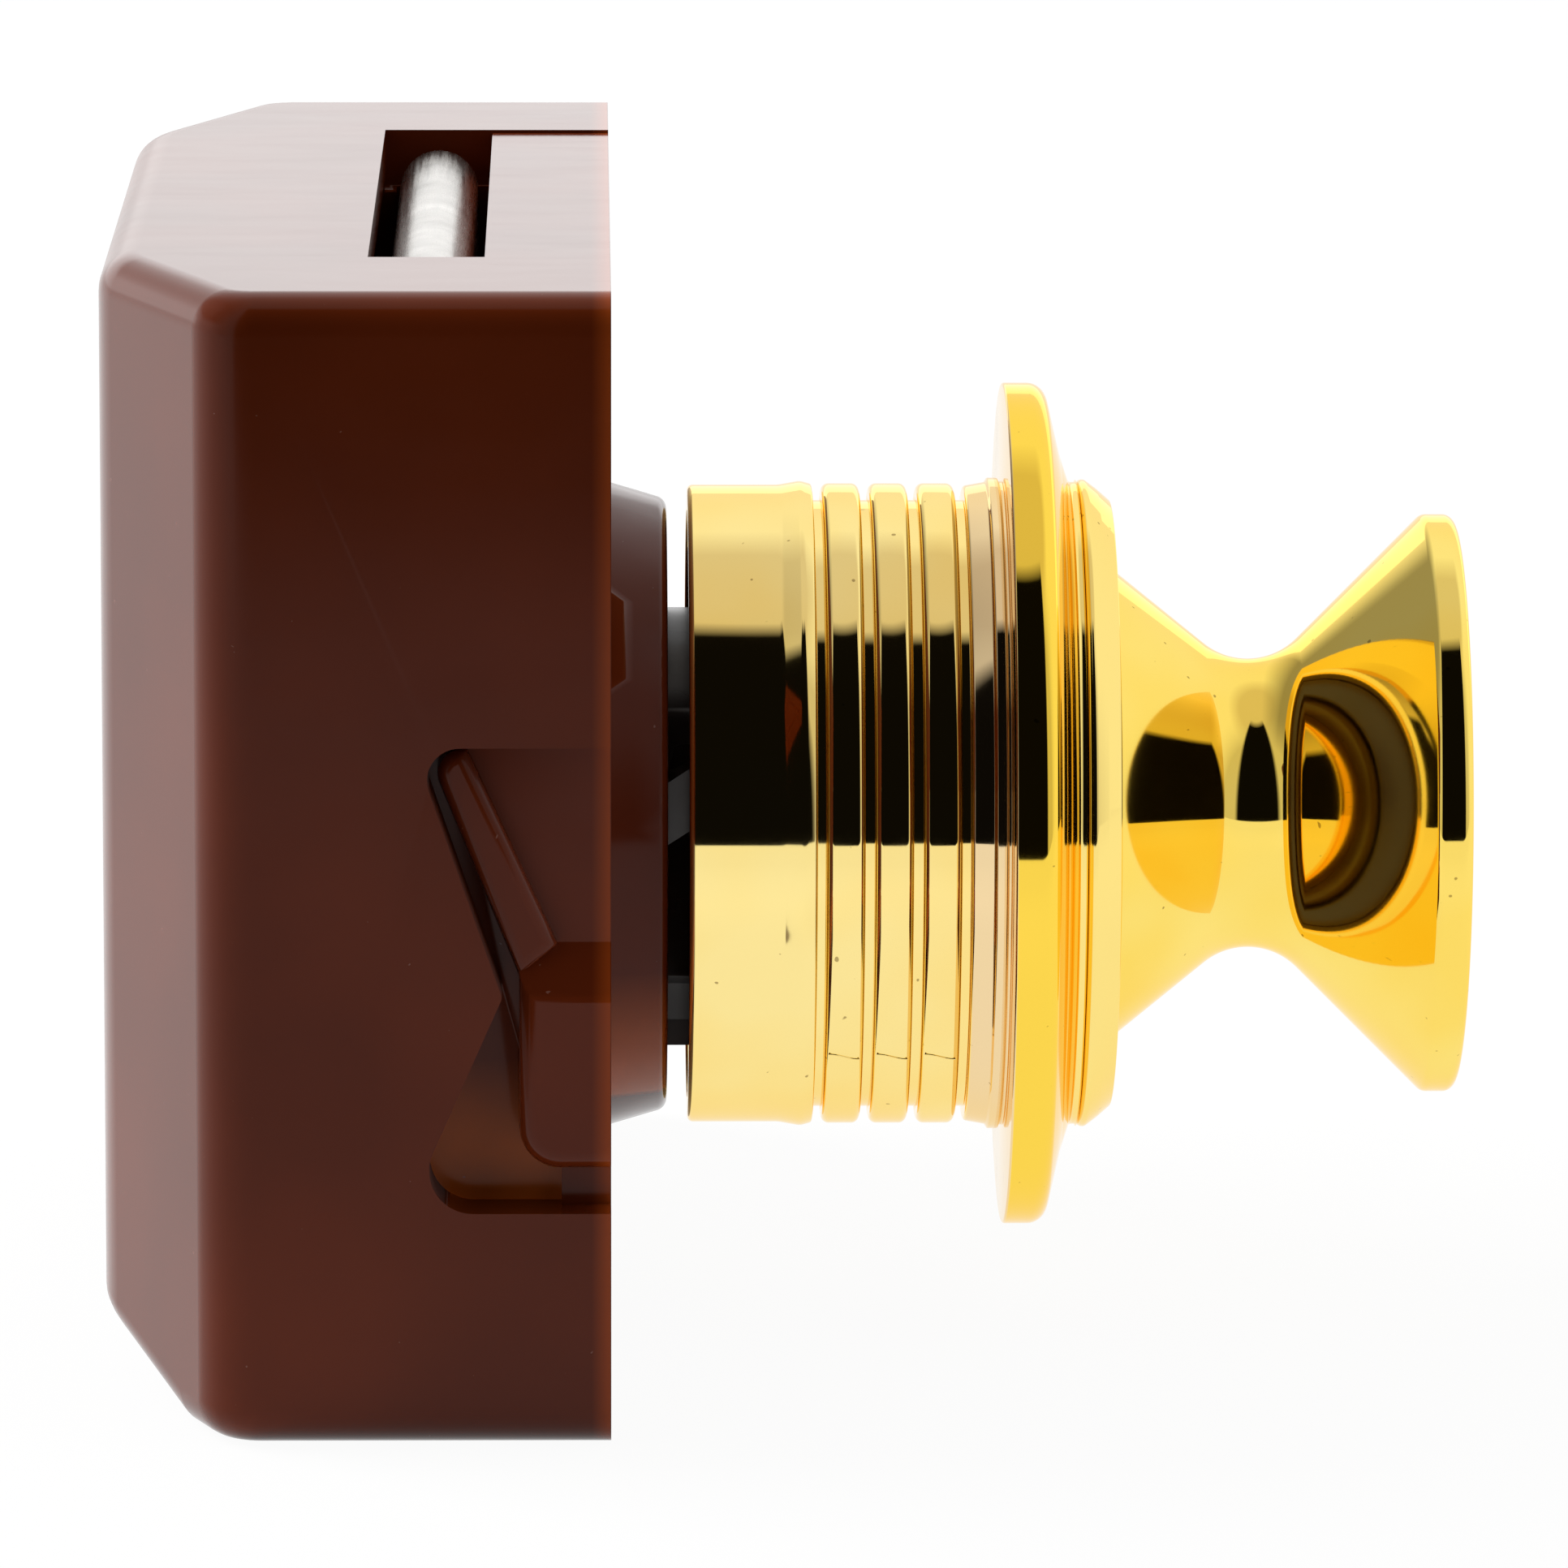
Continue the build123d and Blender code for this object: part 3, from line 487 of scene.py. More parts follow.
def zinc_steel(name, light, dark, along, rough_low, rough_high):
    """Zinc-plated steel: the eye gets a pale sheen, with drawing lines along one axis.

    The lines are drawn coarser than real ones, so that they show.
    """
    material, tree, shader, point = new_material(name)
    stretch = [1.0, 1.0, 1.0]
    stretch[along] = LINE_STRETCH
    drawn = add_node(tree, "ShaderNodeMapping", inputs={"Vector": point, "Scale": stretch})
    lines = add_node(
        tree,
        "ShaderNodeTexNoise",
        inputs={
            "Vector": drawn,
            "Scale": per_metre(LINE_SIZE),
            "Detail": 3.0,
            "Roughness": 0.7,
        },
    )
    patches = add_node(
        tree,
        "ShaderNodeTexNoise",
        inputs={"Vector": point, "Scale": per_metre(BLOTCH_SIZE), "Detail": 3.0},
    )
    both = add_node(tree, "ShaderNodeMath", {"operation": "MULTIPLY"}, {0: lines, 1: patches})
    blotched = add_node(
        tree,
        "ShaderNodeMix",
        {"data_type": "RGBA"},
        {
            "Factor": zone(tree, [(both, 0.12, 0.4, 0.0, 1.0)]),
            MIX_FROM: colour(dark),
            MIX_TO: colour(light),
        },
    )
    set_inputs(
        tree,
        shader,
        {
            "Base Color": blotched,
            "Metallic": 1.0,
            "Roughness": zone(tree, [(lines, ROUGH_LOW, ROUGH_HIGH, rough_low, rough_high)]),
            "Normal": add_node(
                tree, "ShaderNodeBump", inputs={"Height": lines, "Distance": LINE_DEPTH * MM}
            ),
        },
    )
    return material


# Glossy chocolate brown, the cover a shade lighter than the case
case_brown = brown_abs("brown ABS case moulding", "63260D", "59210A")
cover_brown = brown_abs("brown ABS cover moulding", "65270F", "5B220C")

# Near-black inner mouldings, from a soft gloss on the plunger to almost matt on the cam
plunger_black = black_acetal("black acetal plunger", 0.18, 0.3)
liner_black = black_acetal("black acetal guide bush", 0.3, 0.42)
cam_grey = black_acetal("dark acetal heart cam", 0.35, 0.5)

# Mirror gold: paler and pinker behind the flange, a strong yellow on the flange's face
plated_stretches = (
    (BEAD_BACK - 0.85, FLANGE_BACK + 0.05, "F4D8A6"),
    (FLANGE_BACK + 0.1, NECK_FRONT, "FFD84E"),
    (NECK_FRONT + 0.05, COLLAR_FRONT + 0.1, "FFE486"),
)
gold_sleeve = gold_plate("gold plated sleeve", "FFE899", "FFE085", 0.03, 0.06, plated_stretches)
gold_knob = gold_plate("gold plated knob", "FFE57C", "FFDD66", 0.03, 0.055)

# Pale steel: the bolt with lines along it, turned pieces and springs a little greyer
bolt_zinc = zinc_steel("zinc plated bolt steel", "DFDCD7", "AEABA5", 1, 0.22, 0.32)
turned_zinc = zinc_steel("zinc plated turned steel", "D8D6CF", "A19F99", 0, 0.25, 0.4)
spring_steel = zinc_steel("bright drawn spring steel", "C9C9C6", "8E8E8B", 0, 0.2, 0.32)


# Mesh helpers
def finish_mesh(name, mesh, material, body, node=None, sharp=SHARP_TURNED):
    """Shades a mesh, gives it its material, and lets it ride on its body."""
    mesh.shade_smooth()
    mesh.set_sharp_from_angle(angle=math.radians(sharp))
    mesh.materials.clear()
    mesh.materials.append(material)
    piece = bpy.data.objects.new(name, mesh)
    bpy.context.scene.collection.objects.link(piece)
    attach(piece, body)
    if node:
        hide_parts(node)
    return piece


def rounded(corners, steps=8):
    """Points along an outline whose corners are (x, radius, fillet) in millimetres."""
    points = []
    count = len(corners)
    for index, (x, r, fillet) in enumerate(corners):
        here = Vector((x, r))
        if not fillet:
            points.append(here)
            continue
        before = (Vector(corners[index - 1][:2]) - here).normalized()
        after = (Vector(corners[(index + 1) % count][:2]) - here).normalized()
        half = before.angle(after) / 2
        centre = here + (before + after).normalized() * fillet / math.sin(half)
        start = here + before * fillet / math.tan(half) - centre
        end = here + after * fillet / math.tan(half) - centre
        turn = start.angle_signed(end)
        for step in range(steps + 1):
            angle = -turn * step / steps
            points.append(centre + Matrix.Rotation(angle, 2) @ start)
    return points


def turned_mesh(name, points, closed=True):
    """A turned form: an outline of (x, radius) points spun about the knob axis."""
    work = bmesh.new()
    verts = [work.verts.new((x * MM, 0, r * MM)) for x, r in points]
    ends = verts[1:] + verts[:1] if closed else verts[1:]
    edges = [work.edges.new(pair) for pair in zip(verts, ends)]
    bmesh.ops.spin(
        work,
        geom=verts + edges,
        cent=(0, 0, 0),
        axis=(1, 0, 0),
        angle=2 * math.pi,
        steps=LATHE_STEPS,
        use_merge=True,
    )
    bmesh.ops.remove_doubles(work, verts=work.verts, dist=MERGE_TURNED * MM)
    bmesh.ops.recalc_face_normals(work, faces=work.faces)
    mesh = bpy.data.meshes.new(name)
    work.to_mesh(mesh)
    work.free()
    return mesh


def dressed_copy(name, node, material, body):
    """A merged and smoothly shaded copy of a moulded part, in place of its node."""
    work = bmesh.new()
    work.from_mesh(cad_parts[node].data)
    bmesh.ops.remove_doubles(work, verts=work.verts, dist=MERGE_MOULDED * MM)
    bmesh.ops.dissolve_limit(
        work, angle_limit=math.radians(FLAT_ANGLE), verts=work.verts, edges=work.edges
    )
    mesh = bpy.data.meshes.new(name)
    work.to_mesh(mesh)
    work.free()
    piece = finish_mesh(name, mesh, material, body, node, SHARP_MOULDED)
    weighted = piece.modifiers.new("flat faces stay flat", "WEIGHTED_NORMAL")
    weighted.keep_sharp = True


def tree_with_inputs(name, inputs):
    """A geometry node tree with named inputs and one geometry output."""
    tree = bpy.data.node_groups.new(name, "GeometryNodeTree")
    for label, kind in inputs:
        tree.interface.new_socket(label, in_out="INPUT", socket_type=kind)
    tree.interface.new_socket("Geometry", in_out="OUTPUT", socket_type="NodeSocketGeometry")
    return tree, tree.nodes.new("NodeGroupInput").outputs


def close_tree(tree, geometry, material):
    """Ends a tree: real geometry, smooth, in its material."""
    real = add_node(tree, "GeometryNodeRealizeInstances", inputs={0: geometry})
    smooth = add_node(tree, "GeometryNodeSetShadeSmooth", inputs={0: real})
    painted = add_node(
        tree, "GeometryNodeSetMaterial", inputs={0: smooth, "Material": material}
    )
    add_node(tree, "NodeGroupOutput", inputs={0: painted})


def mesh_from_tree(name, tree, values):
    """Runs a tree with its inputs set by name and returns the plain mesh."""
    holder = bpy.data.objects.new(name, bpy.data.meshes.new(name))
    bpy.context.scene.collection.objects.link(holder)
    modifier = holder.modifiers.new(name, "NODES")
    modifier.node_group = tree
    for item in tree.interface.items_tree:
        if item.in_out == "INPUT" and item.name in values:
            modifier[item.identifier] = values[item.name]
    ready = holder.evaluated_get(bpy.context.evaluated_depsgraph_get())
    mesh = bpy.data.meshes.new_from_object(ready)
    holder.modifiers.remove(modifier)
    bpy.data.objects.remove(holder)
    work = bmesh.new()
    work.from_mesh(mesh)
    bmesh.ops.recalc_face_normals(work, faces=work.faces)
    work.to_mesh(mesh)
    work.free()
    return mesh


# Sleeve ribs: rounded rings in a row along the sleeve
def rib_rings():
    """Rings with rounded shoulders, repeated at the groove pitch."""
    tree, given = tree_with_inputs(
        "sleeve ribs",
        [
            ("Count", "NodeSocketInt"),
            ("First", "NodeSocketFloat"),
            ("Pitch", "NodeSocketFloat"),
            ("Middle radius", "NodeSocketFloat"),
            ("Width", "NodeSocketFloat"),
            ("Height", "NodeSocketFloat"),
            ("Shoulder", "NodeSocketFloat"),
        ],
    )
    ring = add_node(
        tree,
        "GeometryNodeCurvePrimitiveCircle",
        inputs={"Resolution": LATHE_STEPS, "Radius": given["Middle radius"]},
    )
    upright = add_node(
        tree,
        "GeometryNodeTransform",
        inputs={"Geometry": ring.outputs["Curve"], "Rotation": (0, math.pi / 2, 0)},
    )
    section = add_node(
        tree,
        "GeometryNodeCurvePrimitiveQuadrilateral",
        inputs={"Width": given["Width"], "Height": given["Height"]},
    )
    soft = add_node(
        tree,
        "GeometryNodeFilletCurve",
        {"mode": "POLY"},
        {"Curve": section.outputs["Curve"], "Count": 7, "Radius": given["Shoulder"]},
    )
    tube = add_node(
        tree,
        "GeometryNodeCurveToMesh",
        inputs={"Curve": upright.outputs["Geometry"], "Profile Curve": soft.outputs["Curve"]},
    )
    step = add_node(tree, "ShaderNodeCombineXYZ", inputs={"X": given["Pitch"]})
    start = add_node(tree, "ShaderNodeCombineXYZ", inputs={"X": given["First"]})
    row = add_node(
        tree,
        "GeometryNodeMeshLine",
        {"mode": "OFFSET"},
        {"Count": given["Count"], "Start Location": start, "Offset": step},
    )
    placed = add_node(
        tree,
        "GeometryNodeInstanceOnPoints",
        inputs={"Points": row.outputs["Mesh"], "Instance": tube.outputs["Mesh"]},
    )
    close_tree(tree, placed.outputs["Instances"], gold_sleeve)
    bottom = GROOVE_FLOOR_RADIUS - RIB_ROOT
    return mesh_from_tree(
        "sleeve_ribs",
        tree,
        {
            "Count": GROOVE_COUNT - 1,
            "First": (GROOVE_FIRST + GROOVE_PITCH / 2) * MM,
            "Pitch": GROOVE_PITCH * MM,
            "Middle radius": (RIB_RADIUS + bottom) / 2 * MM,
            "Width": (GROOVE_PITCH - GROOVE_WIDTH) * MM,
            "Height": (RIB_RADIUS - bottom) * MM,
            "Shoulder": RIB_SHOULDER * MM,
        },
    )


# Escutcheon: sleeve, flange and collar in one casting
def escutcheon_outline():
    """The casting's outline, with the rib stretch turned down to the groove floor."""
    swell_start = GROOVE_FIRST - GROOVE_WIDTH / 2 - SLEEVE_SWELL_LENGTH
    last_groove = GROOVE_FIRST + (GROOVE_COUNT - 1) * GROOVE_PITCH
    half = GROOVE_WIDTH / 2
    swell = SLEEVE_RADIUS + SLEEVE_SWELL
    corners = [
        (COLLAR_FRONT, SLEEVE_BORE, 0.15),
        (SLEEVE_BACK, SLEEVE_BORE, 0.1),
        (SLEEVE_BACK, SLEEVE_RADIUS, 0.22),
        (swell_start, SLEEVE_RADIUS, 1.5),
        (GROOVE_FIRST - half - 0.45, swell, 0.6),
        (GROOVE_FIRST - half, RIB_RADIUS - 0.02, 0.12),
        (GROOVE_FIRST - half, GROOVE_FLOOR_RADIUS, 0.05),
        (last_groove + half, GROOVE_FLOOR_RADIUS, 0.05),
        (last_groove + half, RIB_RADIUS - 0.1, 0.15),
        (BEAD_BACK - 0.1, RIB_RADIUS + 0.05, 0.06),
        (BEAD_BACK, BEAD_RADIUS, 0.08),
        (FLANGE_BACK - 0.18, BEAD_RADIUS, 0.08),
        (FLANGE_BACK - 0.14, BEAD_RADIUS - 0.14, 0.03),
        (FLANGE_BACK, BEAD_RADIUS - 0.14, 0.06),
        (FLANGE_BACK, FLANGE_RADIUS, 0.1),
        (FLANGE_RIM_FRONT, FLANGE_RADIUS, FLANGE_RIM_FILLET),
        (FLANGE_FACE_FRONT, FLANGE_FACE_RADIUS, 0.5),
        (NECK_FRONT, NECK_RADIUS, 0.2),
        (COLLAR_BACK, NECK_RADIUS, 0.08),
        (COLLAR_BACK, COLLAR_RADIUS, 0.25),
        (COLLAR_SHOULDER_FRONT, COLLAR_SHOULDER_RADIUS, 0.6),
        (COLLAR_FRONT, COLLAR_FRONT_RADIUS, 0.12),
    ]
    return rounded(corners)


def parting_line():
    """The thin raised seam that the casting die leaves across the ribs."""
    path = bpy.data.curves.new("parting_line", "CURVE")
    path.dimensions = "3D"
    path.bevel_depth = PARTING_WIDTH * MM
    path.bevel_resolution = 2
    path.use_fill_caps = True
    for rib in range(GROOVE_COUNT - 1):
        middle = GROOVE_FIRST + (rib + 0.5) * GROOVE_PITCH
        line = path.splines.new("POLY")
        line.points.add(SEAM_STEPS)
        for step, point in enumerate(line.points):
            share = 2 * step / SEAM_STEPS - 1
            x = middle + (RIB_HALF_WIDTH - RIB_SHOULDER / 2) * share
            turn = math.radians(PARTING_ANGLE) + SEAM_SLANT * math.cos((share + 1) * math.pi / 2)
            along_y = -RIB_RADIUS * math.cos(turn) * MM
            along_z = RIB_RADIUS * math.sin(turn) * MM
            point.co = (x * MM, along_y, along_z, 1)
    holder = bpy.data.objects.new("parting_line", path)
    bpy.context.scene.collection.objects.link(holder)
    ready = holder.evaluated_get(bpy.context.evaluated_depsgraph_get())
    mesh = bpy.data.meshes.new_from_object(ready)
    bpy.data.objects.remove(holder)
    return mesh


finish_mesh(
    "escutcheon_casting",
    turned_mesh("escutcheon_casting", escutcheon_outline()),
    gold_sleeve,
    "rosette",
    "escutcheon",
)
ribs = finish_mesh("sleeve_ribs", rib_rings(), gold_sleeve, "rosette")
seam = finish_mesh("parting_line", parting_line(), gold_sleeve, "rosette")

finish_mesh(
    "guide_bush",
    turned_mesh(
        "guide_bush",
        rounded(
            [
                (LINER_BACK, LINER_WIDE_BORE, 0.05),
                (LINER_BACK, LINER_RADIUS, 0.05),
                (LINER_FRONT, LINER_RADIUS, 0.05),
                (LINER_FRONT, LINER_BORE, 0.1),
                (LINER_STEP, LINER_BORE, 0.05),
                (LINER_STEP, LINER_WIDE_BORE, 0.05),
            ],
            4,
        ),
    ),
    liner_black,
    "rosette",
    "escutcheon_liner",
)


# Knob: two cones that meet in a rounded waist
def knob_outline():
    """The spool's outline from its back to the rim, left open at the axis."""
    back = math.radians(KNOB_BACK_CONE)
    front = math.radians(KNOB_FRONT_CONE)
    centre = KNOB_WAIST_RADIUS + KNOB_WAIST_FILLET
    back_x = KNOB_WAIST_PLACE - KNOB_WAIST_FILLET * math.sin(back)
    back_r = centre - KNOB_WAIST_FILLET * math.cos(back)
    front_x = KNOB_WAIST_PLACE + KNOB_WAIST_FILLET * math.sin(front)
    front_r = centre - KNOB_WAIST_FILLET * math.cos(front)
    base_front = back_x - (KNOB_BASE_RADIUS - back_r) / math.tan(back)
    rim_back = front_x + (KNOB_RIM_RADIUS - front_r) / math.tan(front)
    cross = (back_r - front_r + back_x * math.tan(back) + front_x * math.tan(front)) / (
        math.tan(back) + math.tan(front)
    )
    cross_r = front_r + (cross - front_x) * math.tan(front)
    corners = [
        (KNOB_BACK, 0, 0),
        (KNOB_BACK, KNOB_BASE_RADIUS, 0.4),
        (base_front, KNOB_BASE_RADIUS, 0.35),
        (cross, cross_r, KNOB_WAIST_FILLET),
        (rim_back, KNOB_RIM_RADIUS, KNOB_RIM_FILLET),
        (KNOB_RIM_FRONT, KNOB_RIM_RADIUS, KNOB_RIM_FILLET),
        (KNOB_RIM_FRONT, CAP_RADIUS + CAP_GAP, 0.06),
        (CAP_BACK, CAP_RADIUS + CAP_GAP, 0),
        (CAP_BACK, 0, 0),
    ]
    return rounded(corners, 24)


finish_mesh(
    "knob_spool", turned_mesh("knob_spool", knob_outline(), False), gold_knob, "knob", "knob_body"
)


def cap_outline():
    """The pressed-in face cap: a shallow dome with a rounded edge."""
    rise = KNOB_CROWN - CAP_EDGE
    bend = (CAP_RADIUS**2 + rise**2) / (2 * rise)
    back = CAP_BACK + CAP_SEAT
    points = [Vector((back, 0)), Vector((back, CAP_RADIUS))]
    for step in range(CAP_STEPS + 1):
        r = CAP_RADIUS * (1 - step / CAP_STEPS)
        x = KNOB_CROWN - bend + math.sqrt(bend**2 - r**2)
        points.append(Vector((x, r)))
    return points


finish_mesh(
    "knob_face_cap",
    turned_mesh("knob_face_cap", cap_outline(), False),
    gold_knob,
    "knob",
    "knob_cap",
)

# Case parts keep their moulded form, merged and shaded
dressed_copy("case_moulding", "lock_case", case_brown, "case")
dressed_copy("cover_moulding", "case_cover", cover_brown, "case")
dressed_copy("bolt_plate", "latch_bolt", bolt_zinc, "bolt")
dressed_copy("plunger_tube", "plunger", plunger_black, "button")


# Main spring: one helix from the washer to the plunger's web
def spring_mesh():
    """A coil along the knob axis."""
    tree, given = tree_with_inputs(
        "main spring coil",
        [
            ("Turns", "NodeSocketFloat"),
            ("Coil radius", "NodeSocketFloat"),
            ("Length", "NodeSocketFloat"),
            ("Wire radius", "NodeSocketFloat"),
            ("Start", "NodeSocketFloat"),
        ],
    )
    helix = add_node(
        tree,
        "GeometryNodeCurveSpiral",
        inputs={
            "Resolution": 40,
            "Rotations": given["Turns"],
            "Start Radius": given["Coil radius"],
            "End Radius": given["Coil radius"],
            "Height": given["Length"],
        },
    )
    start = add_node(tree, "ShaderNodeCombineXYZ", inputs={"X": given["Start"]})
    along = add_node(
        tree,
        "GeometryNodeTransform",
        inputs={
            "Geometry": helix.outputs["Curve"],
            "Translation": start,
            "Rotation": (0, math.pi / 2, 0),
        },
    )
    wire = add_node(
        tree,
        "GeometryNodeCurvePrimitiveCircle",
        inputs={"Resolution": 12, "Radius": given["Wire radius"]},
    )
    tube = add_node(
        tree,
        "GeometryNodeCurveToMesh",
        inputs={
            "Curve": along.outputs["Geometry"],
            "Profile Curve": wire.outputs["Curve"],
            "Fill Caps": True,
        },
    )
    close_tree(tree, tube.outputs["Mesh"], spring_steel)
    return mesh_from_tree(
        "spring_coil",
        tree,
        {
            "Turns": SPRING_TURNS,
            "Coil radius": SPRING_RADIUS * MM,
            "Length": (SPRING_FRONT - SPRING_BACK - SPRING_WIRE) * MM,
            "Wire radius": SPRING_WIRE / 2 * MM,
            "Start": (SPRING_BACK + SPRING_WIRE / 2) * MM,
        },
    )


spring = finish_mesh("spring_coil", spring_mesh(), spring_steel, "case", "main_spring")
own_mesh(spring)

# Small steel and acetal parts keep their nodes and take their finish
for node, material in (
    ("heart_cam", cam_grey),
    ("spring_washer", turned_zinc),
    ("spindle", turned_zinc),
    ("knob_screw", turned_zinc),
    ("cam_follower", spring_steel),
    ("follower_spring", spring_steel),
    ("spindle_clip", spring_steel),
):
    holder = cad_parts[node]
    if holder.material_slots:
        holder.material_slots[0].material = material
    else:
        holder.data.materials.append(material)


# Studio: a white board that ends in front of the lock, and a room with a dark patch
# behind the camera. Angles of the room are in radians, and its rises start at the horizon.
FLOOR_LEVEL = -18.5
FLOOR_NEAR = -45.0
FLOOR_DIM = -100.0
FLOOR_FRONT = -233.0
FLOOR_REACH = 2600.0
FLOOR_GRAIN = 3.0
FLOOR_GLOW = 0.95
PATCH_HALF_WIDTH = 0.62
PATCH_LOW = -0.38
PATCH_HIGH = 1.31
PATCH_EDGE = 0.05
OVERHEAD_LOW = 0.95
OVERHEAD_HIGH = 1.2
LEFT_LOW = 0.28
LEFT_HIGH = 0.42
BACK_LAMP_PLACE = (0, 900, 190)
BACK_LAMP_SIZE = (2600, 240)
BACK_LAMP_RADIANCE = 0.32
HIGH_LAMP_PLACE = (-600, 250, 520)
HIGH_LAMP_SIZE = (500, 500)
HIGH_LAMP_RADIANCE = 9.0


def floor_material():
    """Matt white board: the eye gets plain white with a faint shadow of the lock.

    It is dark towards its front, so that it throws less light on the side of the case.
    """
    material, tree, shader, point = new_material("white matt board")
    axes = add_node(tree, "ShaderNodeSeparateXYZ", inputs={"Vector": point})
    grain = add_node(
        tree,
        "ShaderNodeTexNoise",
        inputs={"Vector": point, "Scale": per_metre(FLOOR_GRAIN), "Detail": 3.0},
    )
    lit = add_node(
        tree,
        "ShaderNodeMix",
        {"data_type": "RGBA"},
        {"Factor": grain, MIX_FROM: colour("EEEEEE"), MIX_TO: colour("F4F4F4")},
    )
    near = zone(tree, [(axes.outputs["Y"], FLOOR_DIM * MM, FLOOR_NEAR * MM, 0.0, 1.0)])
    dimmed = add_node(
        tree,
        "ShaderNodeMix",
        {"data_type": "RGBA"},
        {"Factor": near, MIX_FROM: colour("343434"), MIX_TO: lit},
    )
    set_inputs(tree, shader, {"Base Color": dimmed, "Roughness": 0.8})
    glow = add_node(
        tree, "ShaderNodeEmission", inputs={"Color": colour("FFFFFF"), "Strength": 1.0}
    )
    path = add_node(tree, "ShaderNodeLightPath")
    seen = add_node(
        tree,
        "ShaderNodeMath",
        {"operation": "MAXIMUM"},
        {0: path.outputs["Is Camera Ray"], 1: path.outputs["Is Glossy Ray"]},
    )
    shown = add_node(tree, "ShaderNodeMath", {"operation": "MULTIPLY"}, {0: seen, 1: FLOOR_GLOW})
    mixed = add_node(tree, "ShaderNodeMixShader", inputs={0: shown, 1: shader, 2: glow})
    output = next(node for node in tree.nodes if node.type == "OUTPUT_MATERIAL")
    set_inputs(tree, output, {"Surface": mixed})
    return material


def floor():
    """The white board that the lock stands on, which ends in front of it."""
    mesh = bpy.data.meshes.new("studio_floor")
    half = FLOOR_REACH * MM
    level = FLOOR_LEVEL * MM
    front = FLOOR_FRONT * MM
    mesh.from_pydata(
        [(-half, front, level), (half, front, level), (half, half, level), (-half, half, level)],
        [],
        [(0, 1, 2, 3)],
    )
    mesh.materials.append(floor_material())
    piece = bpy.data.objects.new("studio_floor", mesh)
    bpy.context.scene.collection.objects.link(piece)


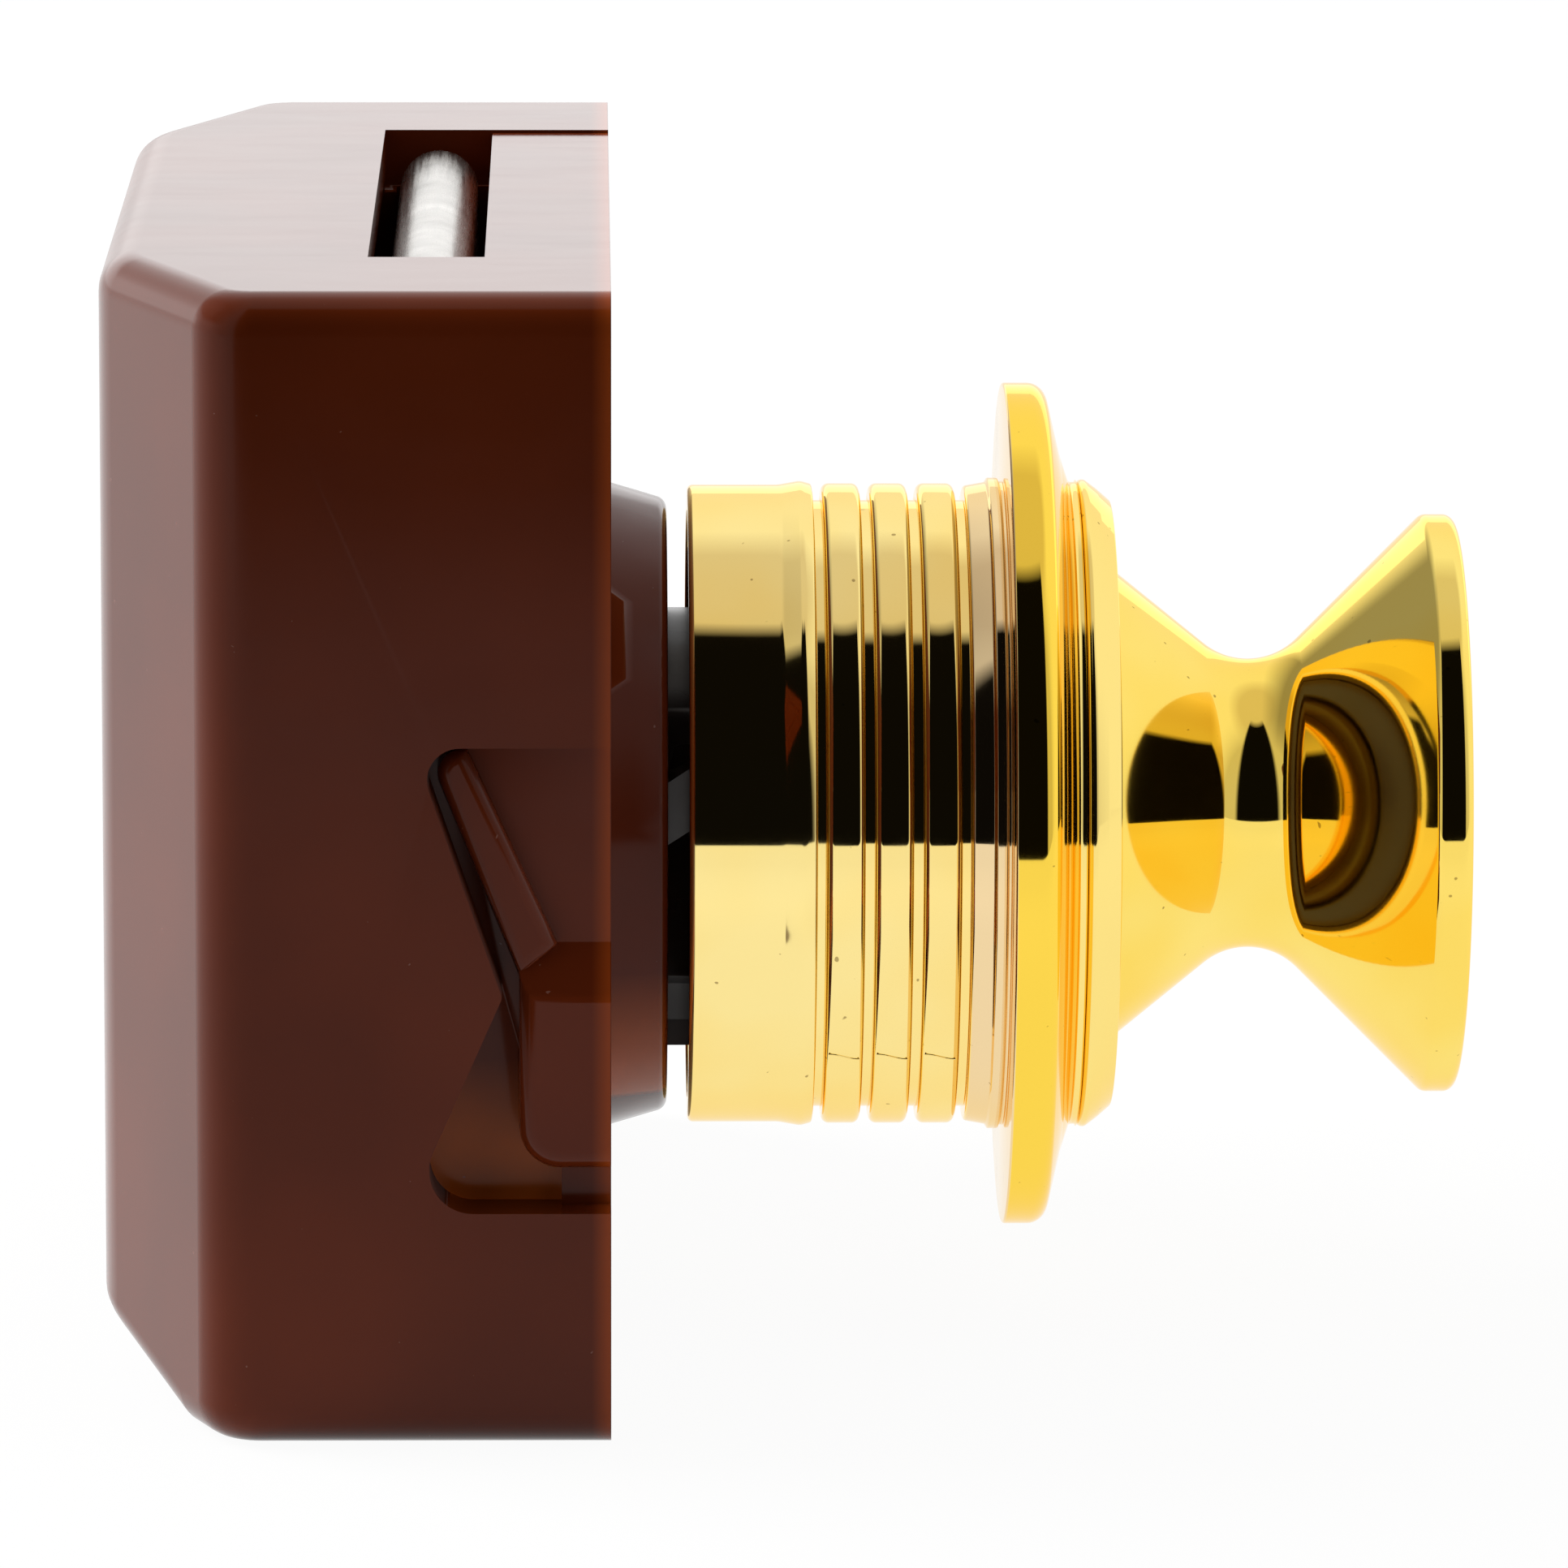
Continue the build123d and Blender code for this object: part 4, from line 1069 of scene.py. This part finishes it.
def room():
    """Pale surroundings with greyer zones and one dark patch, all white to the camera."""
    world = bpy.data.worlds.new("studio room")
    world.use_nodes = True
    bpy.context.scene.world = world
    tree = world.node_tree
    tree.nodes.clear()
    place = add_node(tree, "ShaderNodeTexCoord")
    way = add_node(tree, "ShaderNodeSeparateXYZ", inputs={0: place.outputs["Generated"]})
    right, away, up = way.outputs
    ahead = add_node(tree, "ShaderNodeMath", {"operation": "MULTIPLY"}, {0: away, 1: -1.0})
    turn = add_node(tree, "ShaderNodeMath", {"operation": "ARCTAN2"}, {0: right, 1: ahead})
    aside = add_node(tree, "ShaderNodeMath", {"operation": "ABSOLUTE"}, {0: turn})
    rise = add_node(tree, "ShaderNodeMath", {"operation": "ARCSINE"}, {0: up})
    path = add_node(tree, "ShaderNodeLightPath")
    unseen = add_node(
        tree,
        "ShaderNodeMath",
        {"operation": "SUBTRACT"},
        {0: 1.0, 1: path.outputs["Is Camera Ray"]},
    )
    overhead = [(rise, OVERHEAD_LOW, OVERHEAD_HIGH, 0.0, 1.0)]
    high_left = [(right, -0.5, -0.12, 1.0, 0.0), (rise, LEFT_LOW, LEFT_HIGH, 0.0, 1.0)]
    # Twice the same ramp, for a softer start
    in_front = [(away, -0.5, 0.0, 1.0, 0.0), (away, -0.5, 0.0, 1.0, 0.0)]
    dark_patch = [
        (rise, PATCH_LOW - PATCH_EDGE, PATCH_LOW + PATCH_EDGE, 0.0, 1.0),
        (rise, PATCH_HIGH - PATCH_EDGE, PATCH_HIGH + PATCH_EDGE, 1.0, 0.0),
        (aside, PATCH_HALF_WIDTH - PATCH_EDGE, PATCH_HALF_WIDTH + PATCH_EDGE, 1.0, 0.0),
    ]
    shade = colour("FFFFFF")
    for ramps, tint in (
        (overhead, "DFD8D2"),
        (high_left, "9C9A98"),
        (in_front, "D4D2D0"),
        (dark_patch, "0D0C0B"),
    ):
        shade = add_node(
            tree,
            "ShaderNodeMix",
            {"data_type": "RGBA"},
            {"Factor": zone(tree, ramps, unseen), MIX_FROM: shade, MIX_TO: colour(tint)},
        )
    light = add_node(tree, "ShaderNodeBackground", inputs={"Color": shade, "Strength": 1.0})
    add_node(tree, "ShaderNodeOutputWorld", inputs={"Surface": light})


def softbox(name, place_mm, size_mm, radiance, mirrored):
    """A flat studio lamp that faces the lock, and shows in the gold only where it is mirrored."""
    lamp = bpy.data.lights.new(name, "AREA")
    lamp.shape = "RECTANGLE"
    lamp.size = size_mm[0] * MM
    lamp.size_y = size_mm[1] * MM
    lamp.energy = 4 * radiance * lamp.size * lamp.size_y
    holder = bpy.data.objects.new(name, lamp)
    bpy.context.scene.collection.objects.link(holder)
    place = Vector(place_mm) * MM
    turn = (-place).to_track_quat("-Z", "Y").to_matrix().to_4x4()
    holder.matrix_world = Matrix.Translation(place) @ turn
    holder.visible_camera = False
    holder.visible_glossy = mirrored


def camera():
    """The photograph's viewpoint."""
    lens = bpy.data.cameras.new("view")
    lens.sensor_width = SENSOR_MM
    lens.lens = CAMERA_FOCAL_PIXELS / IMAGE_PIXELS * SENSOR_MM
    lens.clip_start = CAMERA_NEAREST * MM
    holder = bpy.data.objects.new("view", lens)
    bpy.context.scene.collection.objects.link(holder)
    forward = Vector(
        (
            math.sin(CAMERA_YAW) * math.cos(CAMERA_PITCH),
            math.cos(CAMERA_YAW) * math.cos(CAMERA_PITCH),
            -math.sin(CAMERA_PITCH),
        )
    )
    right = Vector((math.cos(CAMERA_YAW), -math.sin(CAMERA_YAW), 0))
    up = right.cross(forward)
    rolled_right = right * math.cos(CAMERA_ROLL) + up * math.sin(CAMERA_ROLL)
    rolled_up = up * math.cos(CAMERA_ROLL) - right * math.sin(CAMERA_ROLL)
    turn = Matrix((rolled_right, rolled_up, -forward)).transposed().to_4x4()
    holder.matrix_world = Matrix.Translation(Vector(CAMERA_PLACE_MM) * MM) @ turn
    bpy.context.scene.camera = holder


floor()
room()
softbox("backdrop light", BACK_LAMP_PLACE, BACK_LAMP_SIZE, BACK_LAMP_RADIANCE, True)
softbox("high light", HIGH_LAMP_PLACE, HIGH_LAMP_SIZE, HIGH_LAMP_RADIANCE, False)
camera()
bpy.context.scene.view_settings.view_transform = "Standard"
